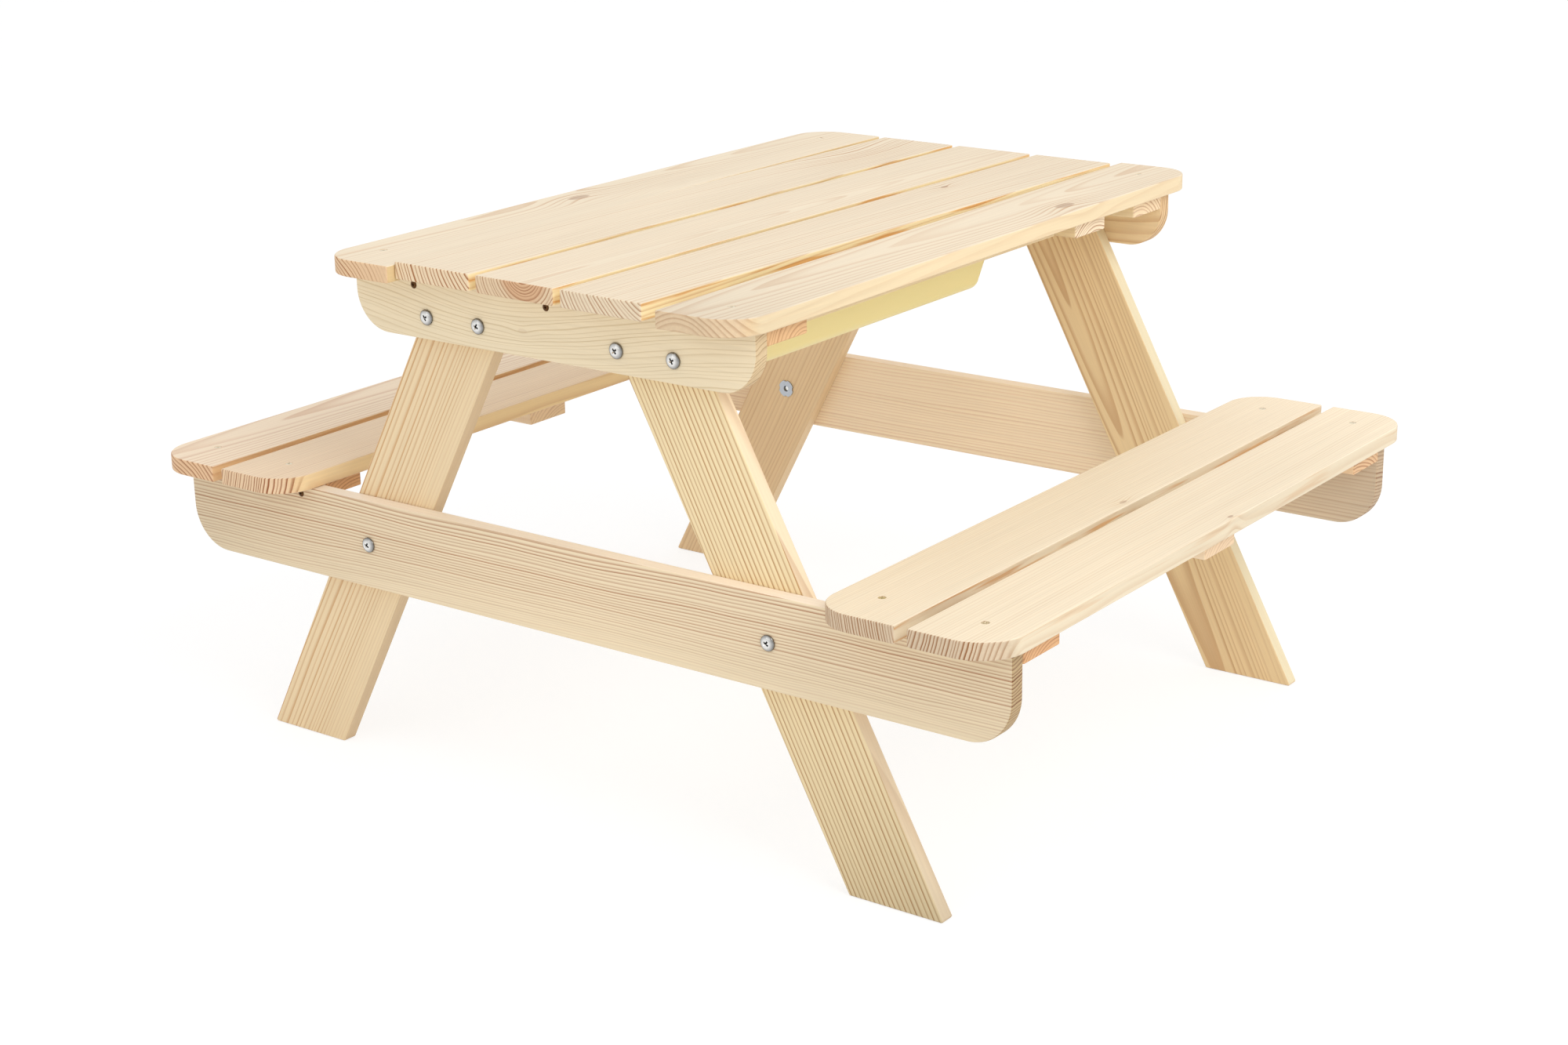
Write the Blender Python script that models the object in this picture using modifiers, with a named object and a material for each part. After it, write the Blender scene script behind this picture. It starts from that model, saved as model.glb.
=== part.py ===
"""A child's picnic table with two fixed benches and a sand tray under a lift-off lid.

The frame of the model: X runs across the table from bench to bench, Y runs along the planks,
Z is up, and the origin lies on the floor under the middle of the table top. The right side is
+X and the far end is +Y. All sizes are in metres.

The two outer top planks, the aprons, the battens and the rails make a fixed ring. The three
planks between them are the lid, which lifts straight up. Under it the sand tray hangs by its
end lips on two battens, and lifts out after the lid, which lies on those lips.
"""

from math import atan, cos, pi, radians, sin, tan

import bmesh
import bpy
from mathutils import Matrix, Vector

# Heights above the floor
TOP_HEIGHT = 0.500
BENCH_HEIGHT = 0.2775

# Board stock
BOARD_THICKNESS = 0.0155
BATTEN_WIDTH = 0.055
ARRIS = 0.001
CORNER_SEGMENTS = 8
CLEARANCE = 0.0003
OVERRUN = 0.002

# Table top
PLANK_LENGTH = 0.761
TOP_PLANK_WIDTH = 0.0855
TOP_CORNER_RADIUS = 0.037
END_OVERHANG = 0.036

# Lift-off lid, which lies loose between the outer planks and a little turned
LID_PLANK_NAMES = ("left", "middle", "right")
LID_PLANK_WIDTH = 0.089
LID_GAP = 0.0078
LID_SIDE_GAP = 0.0085
LID_END_STEP = 0.012
LID_TURN = radians(-1.25)
LID_SLIP = -0.006
LID_BATTEN_WIDTH = 0.045
LID_BATTEN_LENGTH = 0.260
LID_BATTEN_TRAY_GAP = 0.010

# Aprons across the ends of the top, with the batten behind each
APRON_LENGTH = 0.450
APRON_HEIGHT = 0.056
APRON_CORNER_RADIUS = 0.037
APRON_BOLT_DROP = 0.0355
APRON_BOLT_SPREAD = 0.061

# Frame of the sand tray
TRAY_BATTEN_FROM_END = 0.112
RAIL_WIDTH = 0.051
RAIL_SET_BACK = 0.0015

# Sand tray, a drafted moulding
TRAY_DEPTH = 0.074
TRAY_WALL = 0.0025
TRAY_DRAFT = radians(12.6)
TRAY_CORNER_RADIUS = 0.015
TRAY_FLOOR_RADIUS = 0.012
TRAY_CORNER_SEGMENTS = 6
TRAY_FLOOR_SEGMENTS = 4
TRAY_SIDE_GAP = 0.001
TRAY_SIDE_LIP = 0.002
TRAY_END_GAP = 0.002
TRAY_END_LIP = 0.012

# Legs and the beams that join them
LEG_WIDTH = 0.084
LEG_LEAN = radians(28.1)
FOOT_REACH = 0.396
BEAM_LENGTH = 0.9385
BEAM_HEIGHT = 0.085
BEAM_CORNER_RADIUS = 0.042

# Benches
BENCH_LENGTH = 0.7665
BENCH_PLANK_WIDTH = 0.0835
BENCH_GAP = 0.012
BENCH_REACH = 0.479
BENCH_INNER_RADIUS = 0.037
BENCH_OUTER_RADIUS = 0.042
BENCH_BATTEN_INSET = 0.009

# Bolts with a domed head and a cross recess
BOLT_RADIUS = 0.003
BOLT_HEAD_RADIUS = 0.00725
BOLT_HEAD_HEIGHT = 0.0034
BOLT_RIM_HEIGHT = 0.0008
BOLT_END_SET_BACK = 0.002
BOLT_END_CHAMFER = 0.0006
RECESS_LENGTH = 0.0066
RECESS_WIDTH = 0.0014
RECESS_DEPTH = 0.0024
DOME_SEGMENTS = 4
TURNED_STEPS = 16

# Pronged nuts pressed into the legs
NUT_FLANGE_RADIUS = 0.0095
NUT_FLANGE_THICKNESS = 0.0012
NUT_BARREL_RADIUS = 0.004
NUT_BARREL_LENGTH = 0.009
NUT_NOTCH_DEPTH = 0.0012
PRONG_COUNT = 4
PRONG_WIDTH = 0.0032
PRONG_THICKNESS = 0.0011
PRONG_LENGTH = 0.007
HOLE_STEPS = 12

# Shares of the sizes that they follow
RECESS_POINT_SHARE = 0.35
PRONG_TIP_SHARE = 0.4

# Places worked out from the sizes above
PLANK_UNDERSIDE = TOP_HEIGHT - BOARD_THICKNESS
UNDER_TOP = PLANK_UNDERSIDE - CLEARANCE
TOP_BATTEN_UNDERSIDE = UNDER_TOP - BOARD_THICKNESS
FRAME_FACE = PLANK_LENGTH / 2 - END_OVERHANG
LEG_FACE = FRAME_FACE - BOARD_THICKNESS - CLEARANCE
BENCH_UNDERSIDE = BENCH_HEIGHT - BOARD_THICKNESS
BEAM_TOP = BENCH_UNDERSIDE - CLEARANCE
LID_PLANK_COUNT = len(LID_PLANK_NAMES)
LID_PITCH = LID_PLANK_WIDTH + LID_GAP
LID_HALF_WIDTH = (LID_PLANK_COUNT * LID_PITCH - LID_GAP) / 2
OUTER_PLANK_INNER_EDGE = LID_HALF_WIDTH + LID_SIDE_GAP
RAIL_INNER_EDGE = OUTER_PLANK_INNER_EDGE + RAIL_SET_BACK
END_BATTEN_INNER_EDGE = LEG_FACE - BATTEN_WIDTH
TRAY_BATTEN_FAR_EDGE = LEG_FACE - TRAY_BATTEN_FROM_END
TRAY_BATTEN_NEAR_EDGE = TRAY_BATTEN_FAR_EDGE - BATTEN_WIDTH
TRAY_HALF_WIDTH = OUTER_PLANK_INNER_EDGE - TRAY_SIDE_GAP - TRAY_SIDE_LIP
TRAY_NEAR_EDGE = -END_BATTEN_INNER_EDGE + TRAY_END_GAP
TRAY_FAR_EDGE = TRAY_BATTEN_NEAR_EDGE - TRAY_END_GAP
TRAY_CENTRE_Y = (TRAY_NEAR_EDGE + TRAY_FAR_EDGE) / 2
TRAY_HALF_LENGTH = (TRAY_FAR_EDGE - TRAY_NEAR_EDGE) / 2
TRAY_RIM_TOP = UNDER_TOP + CLEARANCE + TRAY_WALL
LID_TOP = TRAY_RIM_TOP + CLEARANCE + BOARD_THICKNESS
LEG_SECTION_WIDTH = LEG_WIDTH / cos(LEG_LEAN)
APRON_BOLT_HEIGHT = UNDER_TOP - APRON_BOLT_DROP
BEAM_BOLT_HEIGHT = BEAM_TOP - BEAM_HEIGHT / 2
BOLT_LENGTH = 2 * BOARD_THICKNESS - BOLT_END_SET_BACK
NUT_BORE_RADIUS = BOLT_RADIUS + CLEARANCE
NUT_NOTCH_RADIUS = NUT_FLANGE_RADIUS - NUT_NOTCH_DEPTH
PRONG_OUTER_RADIUS = NUT_NOTCH_RADIUS - CLEARANCE

# Turns that lay a board, whose length is on X, width on Y and thickness on Z
FLAT_ALONG_X = (0.0, 0.0, 0.0)
FLAT_ALONG_Y = (0.0, 0.0, pi / 2)
ON_EDGE_ALONG_X = (pi / 2, 0.0, 0.0)

# Names and signs of the two sides and the two ends
SIDES = {"left": -1, "right": 1}
ENDS = {"near": -1, "far": 1}


def empty_scene():
    """Remove every object of the scene."""
    for obj in list(bpy.data.objects):
        bpy.data.objects.remove(obj, do_unlink=True)


def new_collection(name):
    """Make a collection under the scene's own."""
    collection = bpy.data.collections.new(name)
    bpy.context.scene.collection.children.link(collection)
    return collection


def new_material(name, colour, roughness, metallic=0.0):
    """Make a Principled material with one colour."""
    material = bpy.data.materials.new(name)
    material.use_nodes = True
    material.diffuse_color = (*colour, 1.0)
    shader = material.node_tree.nodes["Principled BSDF"]
    shader.inputs["Base Color"].default_value = (*colour, 1.0)
    shader.inputs["Roughness"].default_value = roughness
    shader.inputs["Metallic"].default_value = metallic
    return material


empty_scene()
TABLE = new_collection("picnic_table_with_sandbox")
CUTTERS = new_collection("cutters")


def lift_point(name, height, slip=0.0, turn=0.0):
    """Make an empty that carries a loose group, slipped along Y and turned about the upright axis."""
    empty = bpy.data.objects.new(name, None)
    empty.location = (0.0, slip, height)
    empty.rotation_euler = (0.0, 0.0, turn)
    TABLE.objects.link(empty)
    return empty


def new_object(name, mesh, collection, material=None, parent=None):
    """Put a mesh in a collection as an object with its own material."""
    obj = bpy.data.objects.new(name, mesh)
    collection.objects.link(obj)
    obj.parent = parent
    if material is not None:
        mesh.materials.clear()
        mesh.materials.append(material)
    return obj


def to_mesh(name, bm):
    """Turn a bmesh into a mesh and free it."""
    mesh = bpy.data.meshes.new(name)
    bm.to_mesh(mesh)
    bm.free()
    return mesh


def add_box(bm, size, place=Matrix.Identity(4), end_share=1.0):
    """Add a box to a bmesh; its lower end is drawn in to a share of its length and width."""
    added = bmesh.ops.create_cube(bm, size=1.0)["verts"]
    for vert in added:
        if vert.co.z < 0.0:
            vert.co.x *= end_share
            vert.co.y *= end_share
    bmesh.ops.transform(bm, matrix=place @ Matrix.Diagonal((*size, 1.0)), verts=added)


def add_cylinder(bm, radius, length, place):
    """Add a cylinder along its own Z to a bmesh."""
    bmesh.ops.create_cone(bm, cap_ends=True, segments=HOLE_STEPS, radius1=radius, radius2=radius,
                          depth=length, matrix=place)


def ease_edges(obj):
    """Break the sharp edges of a board."""
    bevel = obj.modifiers.new("arris", "BEVEL")
    bevel.width = ARRIS
    bevel.segments = 1
    bevel.limit_method = "ANGLE"
    bevel.angle_limit = radians(30.0)


def combine(obj, tool, operation):
    """Cut, join or intersect an object with a tool object."""
    boolean = obj.modifiers.new(operation.lower(), "BOOLEAN")
    boolean.operation = operation
    boolean.solver = "EXACT"
    boolean.object = tool


def tool_object(name, bm):
    """Make a hidden object that cuts or joins others."""
    tool = new_object(name, to_mesh(name, bm), CUTTERS)
    tool.hide_render = True
    tool.display_type = "WIRE"
    return tool


def board(name, length, width, location, turn, rounded=(), radius=0.0, parent=None):
    """Make a board with eased edges.

    rounded lists the corners, as signs along the length and the width, that get the radius.
    """
    bm = bmesh.new()
    add_box(bm, (length, width, BOARD_THICKNESS))
    corners = []
    for edge in bm.edges:
        ends = [vert.co for vert in edge.verts]
        upright = ends[0].x == ends[1].x and ends[0].y == ends[1].y
        signs = (1 if ends[0].x > 0.0 else -1, 1 if ends[0].y > 0.0 else -1)
        if upright and signs in rounded:
            corners.append(edge)
    if corners:
        bmesh.ops.bevel(bm, geom=corners, offset=radius, offset_type="OFFSET",
                        segments=CORNER_SEGMENTS, profile=0.5, affect="EDGES")
    obj = new_object(name, to_mesh(name, bm), TABLE, wood(name), parent)
    obj.location = location
    obj.rotation_euler = turn
    ease_edges(obj)
    return obj


def wood(name):
    """Make the bare pine of one board."""
    return new_material(name + "_pine", (0.86, 0.71, 0.47), 0.62)


def evaluated_mesh(obj, name):
    """Return an object's mesh with its modifiers applied, and remove the object."""
    bpy.context.view_layer.update()
    graph = bpy.context.evaluated_depsgraph_get()
    mesh = bpy.data.meshes.new_from_object(obj.evaluated_get(graph))
    mesh.name = name
    bpy.data.objects.remove(obj, do_unlink=True)
    return mesh


def turned(name, profile, closed=False):
    """Turn a profile of (radius, height) points about Z."""
    bm = bmesh.new()
    verts = [bm.verts.new((radius, 0.0, height)) for radius, height in profile]
    for start, end in zip(verts, verts[1:]):
        bm.edges.new((start, end))
    if closed:
        bm.edges.new((verts[-1], verts[0]))
    obj = new_object(name, to_mesh(name, bm), TABLE)
    screw = obj.modifiers.new("turn", "SCREW")
    screw.axis = "Z"
    screw.angle = 2 * pi
    screw.steps = TURNED_STEPS
    screw.render_steps = TURNED_STEPS
    screw.use_merge_vertices = True
    screw.merge_threshold = 0.00001
    return obj


def round_smooth(mesh):
    """Shade a turned mesh smooth, apart from its sharp edges."""
    mesh.shade_smooth()
    mesh.set_sharp_from_angle(angle=radians(30.0))
    return mesh


# The table top

def top_planks():
    """Make the two fixed outer planks, each with its outer corners rounded."""
    centre = OUTER_PLANK_INNER_EDGE + TOP_PLANK_WIDTH / 2
    for side, sign in SIDES.items():
        board(f"top_plank_{side}", PLANK_LENGTH, TOP_PLANK_WIDTH,
              (sign * centre, 0.0, TOP_HEIGHT - BOARD_THICKNESS / 2), FLAT_ALONG_Y,
              ((-1, -sign), (1, -sign)), TOP_CORNER_RADIUS)


def lid(lift):
    """Make the lift-off lid: its planks and the two battens that hold them together."""
    first = -LID_HALF_WIDTH + LID_PLANK_WIDTH / 2
    for index, name in enumerate(LID_PLANK_NAMES):
        board(f"lid_plank_{name}", PLANK_LENGTH - 2 * LID_END_STEP, LID_PLANK_WIDTH,
              (first + index * LID_PITCH, 0.0, -BOARD_THICKNESS / 2), FLAT_ALONG_Y, parent=lift)
    level = -BOARD_THICKNESS - CLEARANCE - BOARD_THICKNESS / 2
    tray_wall_at_batten = TRAY_NEAR_EDGE + TRAY_WALL / cos(TRAY_DRAFT) + BOARD_THICKNESS * tan(TRAY_DRAFT)
    near = tray_wall_at_batten + LID_BATTEN_TRAY_GAP + LID_BATTEN_WIDTH / 2
    far = (TRAY_BATTEN_FAR_EDGE + END_BATTEN_INNER_EDGE) / 2
    for end, place in {"near": near, "far": far}.items():
        board(f"lid_batten_{end}", LID_BATTEN_LENGTH, LID_BATTEN_WIDTH, (0.0, place - LID_SLIP, level),
              FLAT_ALONG_X, parent=lift)


def aprons():
    """Make the two boards on edge under the ends of the top."""
    for end, sign in ENDS.items():
        apron = board(f"apron_{end}", APRON_LENGTH, APRON_HEIGHT,
                      (0.0, sign * (FRAME_FACE - BOARD_THICKNESS / 2), UNDER_TOP - APRON_HEIGHT / 2),
                      ON_EDGE_ALONG_X, ((-1, -1), (1, -1)), APRON_CORNER_RADIUS)
        drill(apron, apron_bolt_places(), sign)


def top_battens():
    """Make the battens across the top: one behind each apron, and one at the tray's far end."""
    half = BATTEN_WIDTH / 2
    places = {"top_batten_near": -END_BATTEN_INNER_EDGE - half,
              "top_batten_far": END_BATTEN_INNER_EDGE + half,
              "tray_batten": TRAY_BATTEN_NEAR_EDGE + half}
    for name, place in places.items():
        board(name, APRON_LENGTH, BATTEN_WIDTH, (0.0, place, UNDER_TOP - BOARD_THICKNESS / 2), FLAT_ALONG_X)


def tray_rails():
    """Make the two rails beside the tray, under the outer planks."""
    near = -END_BATTEN_INNER_EDGE + CLEARANCE
    far = TRAY_BATTEN_NEAR_EDGE - CLEARANCE
    for side, sign in SIDES.items():
        board(f"tray_rail_{side}", far - near, RAIL_WIDTH,
              (sign * (RAIL_INNER_EDGE + RAIL_WIDTH / 2), (near + far) / 2,
               UNDER_TOP - BOARD_THICKNESS / 2), FLAT_ALONG_Y)


# The sand tray

def ring_points(half_width, half_length, radius, height):
    """Return the points of a rounded rectangle about the tray's axis."""
    points = []
    for corner in range(4):
        across = 1 if corner in (0, 3) else -1
        along = 1 if corner in (0, 1) else -1
        for step in range(TRAY_CORNER_SEGMENTS + 1):
            angle = (corner + step / TRAY_CORNER_SEGMENTS) * pi / 2
            points.append(Vector((across * (half_width - radius) + radius * cos(angle),
                                  along * (half_length - radius) + radius * sin(angle), height)))
    return points


def tray_rings():
    """Return the rings of the tray's outer surface, from the lip's rim down to the floor."""
    underside = -TRAY_WALL
    corner = TRAY_CORNER_RADIUS
    rings = [ring_points(TRAY_HALF_WIDTH + TRAY_SIDE_LIP, TRAY_HALF_LENGTH + TRAY_END_LIP, corner, underside),
             ring_points(TRAY_HALF_WIDTH, TRAY_HALF_LENGTH, corner, underside)]
    centre_height = -TRAY_DEPTH + TRAY_FLOOR_RADIUS
    sweep = pi / 2 - TRAY_DRAFT
    tangent_height = centre_height - TRAY_FLOOR_RADIUS * sin(TRAY_DRAFT)
    tangent_inset = (underside - tangent_height) * tan(TRAY_DRAFT)
    centre_inset = tangent_inset + TRAY_FLOOR_RADIUS * cos(TRAY_DRAFT)
    for step in range(TRAY_FLOOR_SEGMENTS + 1):
        angle = TRAY_DRAFT + sweep * step / TRAY_FLOOR_SEGMENTS
        inset = centre_inset - TRAY_FLOOR_RADIUS * cos(angle)
        height = centre_height - TRAY_FLOOR_RADIUS * sin(angle)
        rings.append(ring_points(TRAY_HALF_WIDTH - inset, TRAY_HALF_LENGTH - inset,
                                 max(corner - inset + tangent_inset, corner / 2), height))
    return rings


def sand_tray(lift):
    """Make the moulded tray: a drafted open tub with lips that hang on the battens."""
    bm = bmesh.new()
    loops = []
    for points in tray_rings():
        verts = [bm.verts.new(point) for point in points]
        loops.append([bm.edges.new((verts[i - 1], verts[i])) for i in range(len(verts))])
    for upper, lower in zip(loops, loops[1:]):
        bmesh.ops.bridge_loops(bm, edges=upper + lower)
    bmesh.ops.contextual_create(bm, geom=loops[-1])
    bmesh.ops.recalc_face_normals(bm, faces=bm.faces)
    floor = min(bm.faces, key=lambda face: face.calc_center_median().z)
    if floor.normal.z > 0.0:
        bmesh.ops.reverse_faces(bm, faces=bm.faces)
    material = new_material("tray_plastic", (0.88, 0.78, 0.42), 0.38)
    tray = new_object("sand_tray", to_mesh("sand_tray", bm), TABLE, material, lift)
    tray.location = (0.0, TRAY_CENTRE_Y, 0.0)
    wall = tray.modifiers.new("wall", "SOLIDIFY")
    wall.thickness = TRAY_WALL
    wall.offset = -1.0
    wall.use_even_offset = True
    return tray


# Legs, beams and their bolts

def leg_centre(height):
    """Return how far a leg's middle line is from the table's middle at a height."""
    return FOOT_REACH - LEG_SECTION_WIDTH / 2 - height * tan(LEG_LEAN)


def apron_bolt_places():
    """Return (across, height) of the bolts that hold an apron, a pair to each leg."""
    middle = leg_centre(APRON_BOLT_HEIGHT)
    return [(side * (middle + offset * APRON_BOLT_SPREAD / 2), APRON_BOLT_HEIGHT)
            for side in SIDES.values() for offset in (-1, 1)]


def beam_bolt_places():
    """Return (across, height) of the bolts that hold a beam, one to each leg."""
    return [(side * leg_centre(BEAM_BOLT_HEIGHT), BEAM_BOLT_HEIGHT) for side in SIDES.values()]


def outward(sign):
    """Return the turn that points Z out of the table's near or far end."""
    return (-sign * pi / 2, 0.0, 0.0)


def drill(timber, places, sign):
    """Drill bolt holes through an apron or a beam."""
    bm = bmesh.new()
    turn = Matrix.Rotation(pi / 2, 4, "X")
    for across, height in places:
        middle = Matrix.Translation((across, sign * (FRAME_FACE - BOARD_THICKNESS / 2), height))
        add_cylinder(bm, BOLT_RADIUS + 2 * CLEARANCE, BOARD_THICKNESS + 2 * OVERRUN, middle @ turn)
    combine(timber, tool_object(timber.name + "_holes", bm), "DIFFERENCE")


def add_prongs(bm, place, gap):
    """Add the prongs of a nut to a bmesh, each side grown by a gap."""
    middle = PRONG_OUTER_RADIUS - PRONG_THICKNESS / 2
    length = PRONG_LENGTH + NUT_FLANGE_THICKNESS / 2
    size = (PRONG_THICKNESS + 2 * gap, PRONG_WIDTH + 2 * gap, length + 2 * gap)
    tip_down = Matrix.Rotation(pi, 4, "X")
    for index in range(PRONG_COUNT):
        turn = Matrix.Rotation(2 * pi * index / PRONG_COUNT, 4, "Z")
        centre = Matrix.Translation((middle, 0.0, PRONG_LENGTH - length / 2))
        share = PRONG_TIP_SHARE if gap == 0.0 else 1.0
        add_box(bm, size, place @ turn @ centre @ tip_down, share)


def leg(name, side, end):
    """Make a leaning leg, sawn level at the foot and at the top, with seats for its nuts."""
    height = TOP_BATTEN_UNDERSIDE - CLEARANCE
    bm = bmesh.new()
    add_box(bm, (LEG_SECTION_WIDTH, BOARD_THICKNESS, height))
    lean = Matrix.Identity(4)
    lean[0][2] = -side * tan(LEG_LEAN)
    bmesh.ops.transform(bm, matrix=lean, verts=bm.verts)
    obj = new_object(name, to_mesh(name, bm), TABLE, wood(name))
    obj.location = (side * leg_centre(height / 2), end * (LEG_FACE - BOARD_THICKNESS / 2), height / 2)
    ease_edges(obj)
    bm = bmesh.new()
    inner_face = end * (LEG_FACE - BOARD_THICKNESS)
    turn = Matrix.Rotation(outward(end)[0], 4, "X")
    for across, level in apron_bolt_places() + beam_bolt_places():
        if across * side > 0.0:
            face = Matrix.Translation((across, inner_face, level)) @ turn
            middle = Matrix.Translation((0.0, 0.0, BOARD_THICKNESS / 2))
            add_cylinder(bm, NUT_BARREL_RADIUS + CLEARANCE, BOARD_THICKNESS + 2 * OVERRUN, face @ middle)
            add_prongs(bm, face, CLEARANCE)
    combine(obj, tool_object(name + "_nut_seats", bm), "DIFFERENCE")


def legs():
    """Make the four legs."""
    for end_name, end in ENDS.items():
        for side_name, side in SIDES.items():
            leg(f"leg_{end_name}_{side_name}", side, end)


def beams():
    """Make the two long beams that join the legs and carry the benches."""
    for end, sign in ENDS.items():
        beam = board(f"beam_{end}", BEAM_LENGTH, BEAM_HEIGHT,
                     (0.0, sign * (FRAME_FACE - BOARD_THICKNESS / 2), BEAM_BOLT_HEIGHT),
                     ON_EDGE_ALONG_X, ((-1, -1), (1, -1)), BEAM_CORNER_RADIUS)
        drill(beam, beam_bolt_places(), sign)


def bolt_mesh():
    """Turn the bolt, head up, and press the cross recess into its dome."""
    dome = BOLT_HEAD_HEIGHT - BOLT_RIM_HEIGHT
    profile = [(BOLT_HEAD_RADIUS * sin(step * pi / 2 / DOME_SEGMENTS),
                BOLT_RIM_HEIGHT + dome * cos(step * pi / 2 / DOME_SEGMENTS))
               for step in range(DOME_SEGMENTS + 1)]
    profile += [(BOLT_HEAD_RADIUS, 0.0), (BOLT_RADIUS, 0.0),
                (BOLT_RADIUS, BOLT_END_CHAMFER - BOLT_LENGTH),
                (BOLT_RADIUS - BOLT_END_CHAMFER, -BOLT_LENGTH), (0.0, -BOLT_LENGTH)]
    bolt = turned("bolt", profile)
    height = RECESS_DEPTH + OVERRUN
    middle = Matrix.Translation((0.0, 0.0, BOLT_HEAD_HEIGHT - RECESS_DEPTH + height / 2))
    slots = []
    for index in range(2):
        bm = bmesh.new()
        add_box(bm, (RECESS_LENGTH, RECESS_WIDTH, height),
                middle @ Matrix.Rotation(index * pi / 2, 4, "Z"), RECESS_POINT_SHARE)
        slots.append(tool_object(f"recess_slot_{index}", bm))
        combine(bolt, slots[-1], "DIFFERENCE")
    mesh = round_smooth(evaluated_mesh(bolt, "domed_bolt"))
    for slot in slots:
        bpy.data.objects.remove(slot, do_unlink=True)
    return mesh


def nut_mesh():
    """Turn the flange and barrel of the nut, notch its rim and join its prongs."""
    nut = turned("nut", [(NUT_BORE_RADIUS, NUT_BARREL_LENGTH), (NUT_BARREL_RADIUS, NUT_BARREL_LENGTH),
                         (NUT_BARREL_RADIUS, 0.0), (NUT_FLANGE_RADIUS, 0.0),
                         (NUT_FLANGE_RADIUS, -NUT_FLANGE_THICKNESS),
                         (NUT_BORE_RADIUS, -NUT_FLANGE_THICKNESS)], closed=True)
    bm = bmesh.new()
    reach = NUT_NOTCH_DEPTH + OVERRUN
    for index in range(PRONG_COUNT):
        turn = Matrix.Rotation(2 * pi * index / PRONG_COUNT, 4, "Z")
        centre = Matrix.Translation((NUT_NOTCH_RADIUS + reach / 2, 0.0, -NUT_FLANGE_THICKNESS / 2))
        add_box(bm, (reach, PRONG_WIDTH, NUT_FLANGE_THICKNESS + 2 * OVERRUN), turn @ centre)
    notches = tool_object("nut_notches", bm)
    combine(nut, notches, "DIFFERENCE")
    bm = bmesh.new()
    add_prongs(bm, Matrix.Identity(4), 0.0)
    prongs = tool_object("nut_prongs", bm)
    combine(nut, prongs, "UNION")
    mesh = round_smooth(evaluated_mesh(nut, "pronged_nut"))
    for tool in (notches, prongs):
        bpy.data.objects.remove(tool, do_unlink=True)
    return mesh


def bolts_and_nuts():
    """Place a bolt and its nut at every joint of a leg with an apron or a beam."""
    bolt = bolt_mesh()
    nut = nut_mesh()
    zinc = new_material("zinc_plate", (0.72, 0.73, 0.75), 0.28, 1.0)
    nut_zinc = new_material("nut_zinc_plate", (0.66, 0.67, 0.68), 0.38, 1.0)
    joints = {"apron": apron_bolt_places(), "beam": beam_bolt_places()}
    for end_name, end in ENDS.items():
        for timber, places in joints.items():
            for number, (across, height) in enumerate(sorted(places), 1):
                name = f"{timber}_bolt_{end_name}_{number}"
                placed = new_object(name, bolt, TABLE, zinc)
                placed.location = (across, end * (FRAME_FACE + CLEARANCE), height)
                placed.rotation_euler = outward(end)
                name = f"{timber}_nut_{end_name}_{number}"
                placed = new_object(name, nut, TABLE, nut_zinc)
                placed.location = (across, end * (LEG_FACE - BOARD_THICKNESS - CLEARANCE), height)
                placed.rotation_euler = outward(end)


# Benches

def bench(side, sign):
    """Make one bench: two planks on three battens."""
    outer = BENCH_REACH - BENCH_PLANK_WIDTH / 2
    inner = outer - BENCH_PLANK_WIDTH - BENCH_GAP
    level = BENCH_HEIGHT - BOARD_THICKNESS / 2
    board(f"bench_{side}_outer_plank", BENCH_LENGTH, BENCH_PLANK_WIDTH, (sign * outer, 0.0, level),
          FLAT_ALONG_Y, ((-1, -sign), (1, -sign)), BENCH_OUTER_RADIUS)
    board(f"bench_{side}_inner_plank", BENCH_LENGTH, BENCH_PLANK_WIDTH, (sign * inner, 0.0, level),
          FLAT_ALONG_Y, ((-1, sign), (1, sign)), BENCH_INNER_RADIUS)
    span = outer - inner + BENCH_PLANK_WIDTH - 2 * BENCH_BATTEN_INSET
    end_place = FRAME_FACE - BOARD_THICKNESS - CLEARANCE - BATTEN_WIDTH / 2
    for name, place in {"near": -end_place, "middle": 0.0, "far": end_place}.items():
        board(f"bench_{side}_batten_{name}", span, BATTEN_WIDTH,
              (sign * (inner + outer) / 2, place, BEAM_TOP - BOARD_THICKNESS / 2), FLAT_ALONG_X)


def picnic_table():
    """Build the whole table."""
    top_planks()
    lid(lift_point("lid_lift", LID_TOP, LID_SLIP, LID_TURN))
    aprons()
    top_battens()
    tray_rails()
    sand_tray(lift_point("tray_lift", TRAY_RIM_TOP))
    legs()
    beams()
    bolts_and_nuts()
    for side, sign in SIDES.items():
        bench(side, sign)


picnic_table()
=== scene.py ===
"""Looks of a child's picnic table with a sand tray under its lift-off lid.

Every board is rebuilt with rounded edges and a pine of its own, cut round its own pith. The
sand tray, the domed bolts, the pronged nuts and the wood screws follow, then light and camera.
"""

import logging
import math
from dataclasses import dataclass
from enum import Enum

import bmesh
import bpy
from mathutils import Matrix, Vector

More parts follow.
